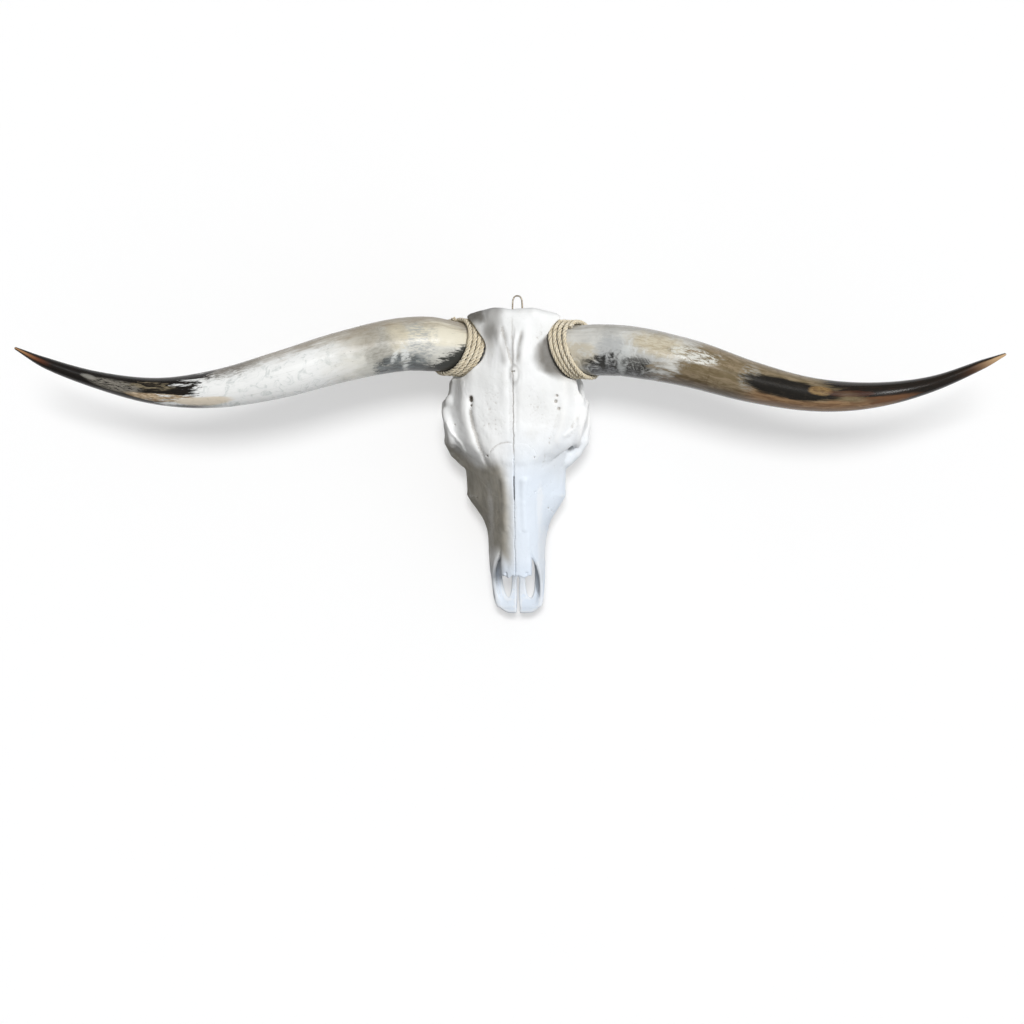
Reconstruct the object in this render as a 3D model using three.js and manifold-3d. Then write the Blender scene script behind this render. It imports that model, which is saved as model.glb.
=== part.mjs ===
// Longhorn steer skull with horns, rope wraps at the horn bases and a wire hanging loop.
// Millimetres, +Z up. The skull lies on its cheek teeth and on the two processes beside the back of the head.
// x runs across, v from the nose tip back to the poll, z up from the floor. The group shifts v to the part's own origin.
import * as THREE from "three";
import { mergeVertices } from "three/addons/utils/BufferGeometryUtils.js";
import Module from "manifold-3d";

// ---------------------------------------------------------------- driving sizes
const REST = 0.5; // the worn teeth and the processes are flat at this level, which is the floor
const CENTRE = [8.0, -199.3, -REST]; // where the nose tip's mid point lies in the part's frame
const GRID = 2.5; // spacing of the field that the bones are drawn from
const BONE_TRIANGLES = 3230; // faces kept for the whole skull before it is parted
const SIZE = 1.0052; // brings the horn tips to 1219.2 apart
const GAP = 0.3; // clearance between neighbouring pieces
const ROLL = 0.06; // the top of the head leans this much to one side
const BEND = 3.5; // the nose tip stands this far to the other side

// profile stations along the head: [place from the nose tip, size]
const ROOF_Z = [[0, 80], [46, 88], [84, 97], [130, 107], [170, 115], [205, 121.5], [225, 125], [250, 131], [280, 138], [310, 144], [340, 149], [360, 150.5], [372, 147], [381, 138]];
const ROOF_HALF = [[0, 17], [46, 17.5], [84, 18.5], [130, 18], [170, 20], [200, 26], [225, 36], [240, 44]];
const ROOF_DROP = [[0, 6], [46, 6], [84, 6.5], [130, 7], [170, 6.5], [200, 5.5], [240, 5]];
const MID_HALF = [[0, 24], [46, 27], [84, 28], [130, 32], [170, 40], [200, 52], [225, 64], [240, 68]];
const MID_Z = [[0, 60], [46, 66], [84, 74], [130, 80], [170, 85], [200, 90], [240, 96]];
const CREST_HALF = [[0, 26], [20, 29], [46, 31.5], [84, 34.3], [106, 37], [119, 42], [131, 49.5], [144, 58.3], [151, 61.8], [160, 61.3], [182, 62], [194, 64], [205, 66], [225, 60], [240, 55]];
const CREST_Z = [[0, 34], [46, 38], [84, 42], [119, 46], [151, 48], [182, 53], [205, 56], [240, 58]];
const GUM_HALF = [[0, 24], [46, 29], [84, 31], [106, 34.5], [131, 41.5], [151, 48], [182, 52.5], [205, 52], [218, 46], [232, 36], [240, 30]];
const GUM_Z = [[0, 30], [46, 30], [84, 30], [106, 27], [131, 23], [151, 20], [182, 17], [205, 17], [218, 20], [240, 34]];
const GUM_IN = [[0, 20], [84, 23], [106, 24.5], [131, 28], [151, 31], [182, 34], [205, 34], [218, 30], [240, 22]];
const PALATE_Z = [[0, 30], [46, 31.5], [84, 32], [106, 33.5], [131, 34], [182, 33.5], [218, 35], [240, 48]];
const FRONT_HALF = [[185, 34], [195, 46], [205, 62], [217, 76], [232, 84], [250, 87], [262, 85], [272, 82], [285, 79], [300, 76], [315, 69], [335, 62], [360, 60], [378, 54], [382, 48]];
const FRONT_EDGE_Z = [[185, 96], [205, 93], [232, 97], [250, 100], [270, 103], [300, 107], [340, 114], [382, 121]];
const POLL_EDGE = [[0, 377.5], [22, 380.5], [44, 374.5], [67, 368], [90, 362]]; // [across, back edge]
const NOSE_EDGE_Z = [[0, 36], [10, 37], [20, 40], [32, 46], [46, 56], [60, 70], [74, 84], [84, 93], [90, 104]];
const TIP_HALF = [[0, 15.5], [3, 19.5], [6, 23], [10.7, 26.6], [17, 29.4], [30, 30.8], [43, 31.4], [66, 33]];
const TIP_TOP = [[0, 33.5], [8, 36], [20, 37], [45, 37], [70, 38]];
const TIP_UNDER = [[0, 27.5], [6, 27], [20, 28.5], [45, 29.5], [70, 30.5]];
const TIP_GAP_HALF = [[0, 2.1], [20, 1.8], [40, 1.4], [60, 1.2]];
// cheek teeth: [middle, length, half width, height of the worn face, lobes]
const TEETH = [[111, 13, 7, 8, 1], [125.5, 15, 7, 5, 1], [141, 15.5, 7, 2.6, 1], [158.5, 19, 9.2, 1, 2], [179.5, 22, 9.2, 0, 2], [203, 24, 9.2, 0, 2]];
const TOOTH_ROW_X = [[104, 30], [131, 35], [151, 39], [182, 43.5], [216, 42]];
const EYE = [82, 239, 77.5], EYE_OUT = [0.965, -0.22, -0.03], EYE_R = 26;
const NECK = [52.5, 332.6, 98.9], NECK_AXIS = [0.9, 0.05, 0.43], NECK_FACE = [0.79, 0.24, 0.56], NECK_R = 30.2; // root of each horn
// horns: [out, v, z, radius]
const HORN_LEFT = [[77, 334.8, 110.5, 31.0], [107, 337.4, 120, 33.9], [144, 335.8, 130, 33.2], [217, 319.8, 141, 31.2], [291, 297.6, 147, 29.1], [364, 281, 150, 24.2], [438, 277.2, 152, 17.2], [511, 290, 154, 11.3], [577, 311.6, 161, 6.8], [611.5, 328.6, 164, 2.2]];
const HORN_RIGHT = [[77, 331, 111, 30.8], [103, 330, 121, 32.0], [140, 327.3, 131, 31.8], [213, 312, 144, 29.6], [287, 289, 150, 25.7], [360, 273.4, 154, 21.3], [433, 272, 156, 16.5], [506, 285, 157, 10.4], [572, 310.4, 164, 5.6], [595.5, 321, 167, 2.2]];
const HORN_ROUND = 14, HORN_RINGS = 25;
const ROPE_R = 2.75, ROPE_TURNS = 4.25, ROPE_AT = [[-1, -5.9], [0, 0], [1, 5.9], [2, 12.0], [3, 19.2], [4, 25.2], [5, 31.2]], ROPE_SIDES = 5, ROPE_STEPS = 17;
const SEAT_R = 38.4, SEAT_FRONT = 1.2; // bone is clear of the horn's axis by this much past the root, and by this much more in front
const TEMPLE_DIP = 4.5; // the forehead falls away beside each horn
const WIDER_LEFT = [[-5, 2], [30, 3.6], [70, 4.4], [100, 2.2], [140, 1.6], [185, 2.4], [205, 2.4], [228, 0], [400, 0]]; // the left jaw stands out further than the right, by place along the head
const START_LEFT = 1.8, START_RIGHT = 9.2, ROPE_LEFT = 2.2, ROPE_RIGHT = 9.6; // where each horn and its rope begin along the core
const WIRE_R = 1.0, WIRE_HALF = 6.0, WIRE_TOP = 398.8, WIRE_Z = 112;

// ---------------------------------------------------------------- curves
const clamp = (t, a, b) => Math.min(b, Math.max(a, t));
function curve(st) { // smooth curve through stations without overshoot
  const n = st.length, m = new Array(n).fill(0), h = [], d = [];
  for (let i = 0; i < n - 1; i++) { h.push(st[i + 1][0] - st[i][0]); d.push((st[i + 1][1] - st[i][1]) / h[i]); }
  m[0] = d[0]; m[n - 1] = d[n - 2];
  for (let i = 1; i < n - 1; i++) if (d[i - 1] * d[i] > 0) {
    const w1 = 2 * h[i] + h[i - 1], w2 = h[i] + 2 * h[i - 1];
    m[i] = (w1 + w2) / (w1 / d[i - 1] + w2 / d[i]);
  }
  return (q) => {
    q = clamp(q, st[0][0], st[n - 1][0]);
    let i = 0;
    while (i < n - 2 && q >= st[i + 1][0]) i++;
    const t = (q - st[i][0]) / h[i], t2 = t * t, t3 = t2 * t;
    return (2 * t3 - 3 * t2 + 1) * st[i][1] + (t3 - 2 * t2 + t) * h[i] * m[i] + (-2 * t3 + 3 * t2) * st[i + 1][1] + (t3 - t2) * h[i] * m[i + 1];
  };
}
const roofZ = curve(ROOF_Z), roofHalf = curve(ROOF_HALF), roofDrop = curve(ROOF_DROP), midHalf = curve(MID_HALF), midZ = curve(MID_Z),
  crestHalf = curve(CREST_HALF), crestZ = curve(CREST_Z), gumHalf = curve(GUM_HALF), gumZ = curve(GUM_Z), gumIn = curve(GUM_IN), palateZ = curve(PALATE_Z),
  frontHalf = curve(FRONT_HALF), frontEdgeZ = curve(FRONT_EDGE_Z), pollEdge = curve(POLL_EDGE), noseEdgeZ = curve(NOSE_EDGE_Z),
  tipHalf = curve(TIP_HALF), tipTop = curve(TIP_TOP), tipUnder = curve(TIP_UNDER), tipGap = curve(TIP_GAP_HALF), toothRowX = curve(TOOTH_ROW_X);

// ---------------------------------------------------------------- the field: negative inside
const smin = (a, b, k) => { const h = clamp(0.5 + (0.5 * (b - a)) / k, 0, 1); return b + (a - b) * h - k * h * (1 - h); };
const smax = (a, b, k) => -smin(-a, -b, k);
const len3 = (a, b, c) => Math.sqrt(a * a + b * b + c * c);
const unit = (a) => { const l = Math.hypot(...a); return a.map((q) => q / l); };
function turn(deg) { // rows of the inverse rotation
  if (!deg) return null;
  const e = new THREE.Matrix4().makeRotationFromEuler(new THREE.Euler(...deg.map((q) => (q * Math.PI) / 180), "ZYX")).elements;
  return [e[0], e[1], e[2], e[4], e[5], e[6], e[8], e[9], e[10]];
}
function local(c, R, x, v, z) {
  const a = x - c[0], b = v - c[1], d = z - c[2];
  return R ? [R[0] * a + R[1] * b + R[2] * d, R[3] * a + R[4] * b + R[5] * d, R[6] * a + R[7] * b + R[8] * d] : [a, b, d];
}
function ellipsoid(c, r, deg) {
  const R = turn(deg);
  return (x, v, z) => {
    const [a, b, d] = local(c, R, x, v, z);
    const k0 = len3(a / r[0], b / r[1], d / r[2]), k1 = len3(a / (r[0] * r[0]), b / (r[1] * r[1]), d / (r[2] * r[2]));
    return (k0 * (k0 - 1)) / Math.max(k1, 1e-6);
  };
}
function block(c, h, rad, deg) {
  const R = turn(deg);
  return (x, v, z) => {
    const [a, b, d] = local(c, R, x, v, z);
    const qx = Math.abs(a) - h[0] + rad, qy = Math.abs(b) - h[1] + rad, qz = Math.abs(d) - h[2] + rad;
    return len3(Math.max(qx, 0), Math.max(qy, 0), Math.max(qz, 0)) + Math.min(Math.max(qx, qy, qz), 0) - rad;
  };
}
function bar(pts, k = 2) { // a rounded bar through [x, v, z, radius] places
  return (x, v, z) => {
    let out = 1e9;
    for (let i = 0; i + 1 < pts.length; i++) {
      const a = pts[i], b = pts[i + 1], ex = b[0] - a[0], ev = b[1] - a[1], ez = b[2] - a[2];
      const px = x - a[0], pv = v - a[1], pz = z - a[2];
      const t = clamp((px * ex + pv * ev + pz * ez) / (ex * ex + ev * ev + ez * ez), 0, 1);
      const d = len3(px - t * ex, pv - t * ev, pz - t * ez) - (a[3] + (b[3] - a[3]) * t);
      out = i ? smin(out, d, k) : d;
    }
    return out;
  };
}
function hoop(c, out, R, r) {
  const n = unit(out);
  return (x, v, z) => {
    const a = x - c[0], b = v - c[1], d = z - c[2], h = a * n[0] + b * n[1] + d * n[2];
    return len3(Math.sqrt(Math.max(a * a + b * b + d * d - h * h, 0)) - R, h, 0) - r;
  };
}
function outline(pts) { // refines a half section, from its top centre to its bottom centre, to a closed loop
  const P = [[-pts[1][0], pts[1][1]], ...pts, [-pts[pts.length - 2][0], pts[pts.length - 2][1]]], fine = [];
  for (let i = 1; i < P.length - 2; i++)
    for (let j = 0; j < 4; j++) {
      const t = j / 4, f = (a) => 0.5 * (2 * P[i][a] + (P[i + 1][a] - P[i - 1][a]) * t + (2 * P[i - 1][a] - 5 * P[i][a] + 4 * P[i + 1][a] - P[i + 2][a]) * t * t + (-P[i - 1][a] + 3 * P[i][a] - 3 * P[i + 1][a] + P[i + 2][a]) * t * t * t);
      fine.push([f(0), f(1)]);
    }
  fine.push(pts[pts.length - 1]);
  return fine;
}
function inOutline(loop, x, z) {
  let d2 = 1e18, inside = false;
  for (let i = 0; i < loop.length; i++) {
    const a = loop[i], b = loop[(i + 1) % loop.length], ex = b[0] - a[0], ez = b[1] - a[1], wx = x - a[0], wz = z - a[1];
    if (i < loop.length - 1) {
      const t = clamp((wx * ex + wz * ez) / Math.max(ex * ex + ez * ez, 1e-9), 0, 1);
      d2 = Math.min(d2, (wx - ex * t) ** 2 + (wz - ez * t) ** 2);
    }
    const c1 = z >= a[1], c2 = z < b[1], c3 = ex * wz > ez * wx;
    if ((c1 && c2 && c3) || (!c1 && !c2 && !c3)) inside = !inside;
  }
  return (inside ? -1 : 1) * Math.sqrt(d2);
}
function slice(v) { // everything that depends on the place along the head only
  const rz = roofZ(v), rh = roofHalf(v), rd = roofDrop(v), mh = midHalf(v), mz = midZ(v), ch = crestHalf(v), cz = crestZ(v), gh = gumHalf(v), gz = gumZ(v), gi = gumIn(v), pz = palateZ(v);
  const fh = frontHalf(v), fe = frontEdgeZ(v), dip = TEMPLE_DIP * Math.exp(-(((v - 332) / 26) ** 2));
  return {
    v,
    face: outline([[0, rz], [rh * 0.6, rz - rd * 0.3], [rh, rz - rd], [mh, mz], [ch, cz], [gh, gz], [(gh + gi) / 2, gz - 1.5], [gi, gz], [gi * 0.8, pz - 0.8], [0, pz + 1]]),
    front: outline([[0, rz], [fh * 0.3, rz - 0.8], [fh * 0.56, rz - 5.5 - dip], [fh * 0.72, rz - 10.5 - 1.2 * dip], [fh * 0.9, fe + 8], [fh, fe], [fh * 0.93, fe - 5], [fh * 0.72, rz - 27], [fh * 0.4, rz - 30], [0, rz - 32]]),
    inner: outline([[0, rz - 3.8], [rh * 0.6, rz - rd * 0.3 - 3.9], [rh - 2.5, rz - rd - 4.4], [Math.min(mh - 4.4, 30), mz], [Math.min(ch - 4.4, 31), cz + 6], [Math.min(ch - 6, 29), 38], [20, 36.2], [0, 36.5]]),
    edge: noseEdgeZ(v), half: tipHalf(v), top: tipTop(v), under: tipUnder(v), gap: tipGap(v),
  };
}
const BODY = [
  [ellipsoid([0, 262, 88], [38, 62, 40]), 10], // between the eyes
  [ellipsoid([0, 312, 88], [52, 62, 46]), 8], // braincase
  [block([0, 346, 92], [50, 24, 40], 16), 10],
  [ellipsoid([50, 338, 74], [20, 22, 26]), 8], // swelling behind the ear
];
const MORE = [
  [bar([[30, 334, 98, 32], [46, 333, 99, 31]]), 9], // root of the horn core
  [bar([[0, 368, 137, 10], [24, 370, 137, 10], [49, 367, 117, 9]]), 7], // poll crest
  [ellipsoid([0, 371, 112], [7, 6, 14]), 6], // bump of the neck ligament
  [hoop(EYE, EYE_OUT, EYE_R, 4.6), 8], // rim of the eye socket
  [bar([[85, 262, 62, 6], [86, 240, 53, 7], [82, 220, 52, 9], [73, 206, 54, 9], [62, 196, 55, 10]]), 6], // cheekbone
  [bar([[80, 268, 101, 7], [84, 266, 84, 5.5], [84, 264, 62, 6.5]]), 5], // bar behind the eye
  [bar([[83, 258, 57, 6.5], [81, 275, 60, 5.5], [78, 290, 63, 6.5], [68, 305, 64, 8], [56, 318, 62, 9]]), 5], // arch
  [ellipsoid([58, 303, 55], [20, 10, 8]), 5], // seat of the jaw joint
  [bar([[50, 322, 52, 8], [60, 325, 54, 6.5]]), 4], // ear tube
  [block([0, 318, 44], [14, 48, 11], 7), 6], // base of the skull
  [ellipsoid([31, 316, 36], [10.5, 15, 17]), 4], // ear bulla
  [bar([[46, 348, 60, 12], [45, 343, 34, 8], [41, 338, 5.5, 6.5]]), 6], // process beside the back of the head
  [ellipsoid([19, 360, 52], [11.5, 12, 18], [0, 14, 0]), 4], // joint with the neck
  [block([18, 252, 44], [2.8, 32, 24], 2.6, [0, -6, -4]), 4], // wing behind the palate
  [bar([[19, 240, 24, 3.6], [18, 262, 17, 3.4]]), 3],
  [ellipsoid([44, 226, 40], [12, 12, 20]), 6], // swelling behind the last tooth
];
const HOLLOWS = [
  [ellipsoid([70, 241, 77.5], [36, 25.2, 24.4], [0, 1.5, 16]), 3], // eye socket
  [ellipsoid([50, 258, 74], [18, 20, 19], [0, 0, 20]), 6],
  [ellipsoid([70, 288, 79], [15, 25, 22], [0, 18, 8]), 5], // temple
  [ellipsoid([66, 268, 74], [14, 22, 18]), 5],
  [ellipsoid([40, 246, 40], [17, 26, 18], [0, 0, 8]), 6], // between the tooth row and the skull base
  [ellipsoid([34, 288, 46], [13, 20, 14]), 5],
  [bar([[0, 400, 66, 14], [0, 344, 66, 12]]), 3], // hole of the spinal cord
  [bar([[0, 218, 40, 12], [0, 262, 44, 13], [0, 285, 46, 10]]), 4], // back opening of the nose
  [bar([[72, 327, 55, 3.6], [54, 322, 54, 3.4]]), 1.5], // ear hole
];
const neckAxis = unit(NECK_AXIS), neckFace = unit(NECK_FACE);
const fissure = ellipsoid([14.3, 46, 32], [5.6, 26, 30], [0, 0, -1.5]);
const septum = block([0, 126, 52], [1.8, 58, 17], 1.4, [9, 0, 0]);
const lowRoll = bar([[27, 92, 62, 3], [20, 104, 64, 6.5], [17.5, 130, 66, 8], [19, 168, 70, 9], [24, 192, 74, 9]]);
const highRoll = bar([[11, 108, 97, 4], [10, 140, 103, 5], [11, 168, 109, 6]]);
const tipNotch = bar([[13, 38, 86, 2.0], [13, 52, 86, 1.4]]), midNotch = bar([[0, 38, 88, 1.6], [0, 54, 90, 0.5]]);

function neck(d, x, v, z) { // the head swells to meet the horn core, which stands out as a stub
  const a = x - NECK[0], b = v - NECK[1], c = z - NECK[2];
  const s = a * neckFace[0] + b * neckFace[1] + c * neckFace[2];
  const h = a * neckAxis[0] + b * neckAxis[1] + c * neckAxis[2], r = Math.sqrt(Math.max(a * a + b * b + c * c - h * h, 0));
  d = smin(d, Math.max(r - 35.2 + 0.12 * s, s - 11, -h - 26), 9);
  const stub = Math.max(r - NECK_R, s - 11, -h - 34);
  return Math.min(d, stub);
}
function nose(d, x, v, z, S) {
  let cavity = smax(inOutline(S.inner, x, z), v - 186, 14);
  cavity = smax(cavity, -20 - v, 1);
  d = smax(d, -cavity, 1.5);
  const over = S.edge - z;
  d = smax(d, -Math.max(over, 18.6 - x, v - 87), 2);
  d = smax(d, -Math.max(over, v - 47.5 - 1.5 * Math.sin(clamp(x, 0, 18) * 0.5)), 1.5);
  d = smax(d, -tipNotch(x, v, z), 0.8);
  d = smax(d, -midNotch(x, v, z), 0.6);
  const q = Math.max(Math.abs(z - (S.top + S.under) / 2) - (S.top - S.under) / 2 + 2.5, 0), r = Math.max(x - S.half + 2.5, 0), e = Math.max(2.5 - v, 0);
  d = smin(d, Math.max(len3(q, r, e) - 2.5, v - 66), 2.5);
  d = smax(d, -fissure(x, v, z), 1.5);
  d = smax(d, -Math.max(x - S.gap, v - 46), 1.2);
  d = smin(d, septum(x, v, z), 1.5);
  d = smin(d, lowRoll(x, v, z), 2);
  return smin(d, highRoll(x, v, z), 2);
}
const ROWS = TEETH.map((t) => toothRowX(t[0]));
function teeth(d, x, v, z) {
  TEETH.forEach(([at, long, half, low, lobes], i) => {
    const part = long / lobes / 2;
    let tooth = 1e9;
    for (let k = 0; k < lobes; k++) {
      const cv = at + ((k - (lobes - 1) / 2) * long) / lobes;
      const w = (Math.sqrt(Math.sqrt(((x - ROWS[i]) / half) ** 4 + ((v - cv) / (part * 1.04)) ** 4 + 1e-9)) - 1) * Math.min(half, part);
      tooth = k ? smin(tooth, w, 1.2) : w;
    }
    tooth = smax(smax(tooth, low - z, 0.8), z - 34, 1);
    d = smin(d, tooth, 0.6);
  });
  return d;
}
function skull(x, v, z, S) {
  let d = smax(smax(inOutline(S.face, x, z), v - 236, 10), 8 - v, 3);
  for (const [f, k] of BODY) d = smin(d, f(x, v, z), k);
  let top = smax(inOutline(S.front, x, z), (v - pollEdge(x)) * 0.95, 7);
  d = smin(d, smax(top, 188 - v, 8), 5);
  for (const [f, k] of MORE) d = smin(d, f(x, v, z), k);
  for (const [f, k] of HOLLOWS) d = smax(d, -f(x, v, z), k);
  d = neck(d, x, v, z);
  d = nose(d, x, v, z, S);
  d = teeth(d, x, v, z);
  return smax(d, -z, 0.3);
}

// ---------------------------------------------------------------- field to surface
function surface() {
  const nx = Math.ceil(104 / GRID), x0 = -nx * GRID, NX = 2 * nx + 1, v0 = -5, NV = Math.ceil(394 / GRID), z0 = -3.7, NZ = Math.ceil(162 / GRID);
  const D = new Float64Array(NX * NV * NZ), at = (i, j, k) => (i * NV + j) * NZ + k;
  for (let j = 0; j < NV; j++) {
    const v = v0 + j * GRID, S = slice(v);
    for (let i = 0; i <= nx; i++)
      for (let k = 0; k < NZ; k++) {
        let d = skull(i * GRID, v, z0 + k * GRID, S);
        if (Math.abs(d) < 0.04 * GRID) d = d < 0 ? -0.04 * GRID : 0.04 * GRID;
        D[at(nx + i, j, k)] = D[at(nx - i, j, k)] = d;
      }
  }
  // marching tetrahedra: six to a cell round its main diagonal, so the surface closes
  const P = [], F = [], seen = new Map(), step = [[0, 0, 0], [1, 0, 0], [0, 1, 0], [1, 1, 0], [0, 0, 1], [1, 0, 1], [0, 1, 1], [1, 1, 1]];
  const TETS = [[0, 1, 3, 7], [0, 3, 2, 7], [0, 2, 6, 7], [0, 6, 4, 7], [0, 4, 5, 7], [0, 5, 1, 7]];
  const node = (i, j, k, c) => [i + step[c][0], j + step[c][1], k + step[c][2]];
  const cut = (a, b) => {
    const ia = at(...a), ib = at(...b), key = ia < ib ? ia * 4e6 + (ib - ia) : ib * 4e6 + (ia - ib);
    let n = seen.get(key);
    if (n === undefined) {
      const t = D[ia] / (D[ia] - D[ib]);
      n = P.length / 3;
      P.push(x0 + (a[0] + (b[0] - a[0]) * t) * GRID, v0 + (a[1] + (b[1] - a[1]) * t) * GRID, z0 + (a[2] + (b[2] - a[2]) * t) * GRID);
      seen.set(key, n);
    }
    return n;
  };
  for (let i = 0; i < NX - 1; i++) for (let j = 0; j < NV - 1; j++) for (let k = 0; k < NZ - 1; k++) {
    let neg = 0;
    for (let c = 0; c < 8; c++) if (D[at(i + step[c][0], j + step[c][1], k + step[c][2])] < 0) neg++;
    if (!neg || neg === 8) continue;
    for (const T of TETS) {
      const q = T.map((c) => node(i, j, k, c)), ins = q.filter((p) => D[at(...p)] < 0), outs = q.filter((p) => D[at(...p)] >= 0);
      if (!ins.length || !outs.length) continue;
      let poly;
      if (ins.length === 1) poly = outs.map((o) => cut(ins[0], o));
      else if (ins.length === 3) poly = ins.map((o) => cut(o, outs[0]));
      else poly = [cut(ins[0], outs[0]), cut(ins[0], outs[1]), cut(ins[1], outs[1]), cut(ins[1], outs[0])];
      // face outwards: away from the mean of the inner corners
      const mid = (ps) => [0, 1, 2].map((e) => ps.reduce((s, p) => s + p[e], 0) / ps.length), mi = mid(ins), mo = mid(outs), dir = [mo[0] - mi[0], mo[1] - mi[1], mo[2] - mi[2]];
      const [A, B, C] = poly.map((n) => [P[3 * n], P[3 * n + 1], P[3 * n + 2]]);
      const u = [B[0] - A[0], B[1] - A[1], B[2] - A[2]], w = [C[0] - A[0], C[1] - A[1], C[2] - A[2]];
      const nrm = [u[1] * w[2] - u[2] * w[1], u[2] * w[0] - u[0] * w[2], u[0] * w[1] - u[1] * w[0]];
      if (nrm[0] * dir[0] + nrm[1] * dir[1] + nrm[2] * dir[2] < 0) poly.reverse();
      F.push([poly[0], poly[1], poly[2]]);
      if (poly.length === 4) F.push([poly[0], poly[2], poly[3]]);
    }
  }
  return [P, F];
}
function largest([P, F]) { // the biggest connected surface
  const root = Array.from({ length: P.length / 3 }, (_, i) => i), find = (a) => { while (root[a] !== a) a = root[a] = root[root[a]]; return a; };
  for (const f of F) { root[find(f[0])] = find(f[1]); root[find(f[1])] = find(f[2]); }
  const count = new Map();
  for (const f of F) count.set(find(f[0]), (count.get(find(f[0])) || 0) + 1);
  const keep = [...count].sort((a, b) => b[1] - a[1])[0][0];
  return [P, F.filter((f) => find(f[0]) === keep)];
}
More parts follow.
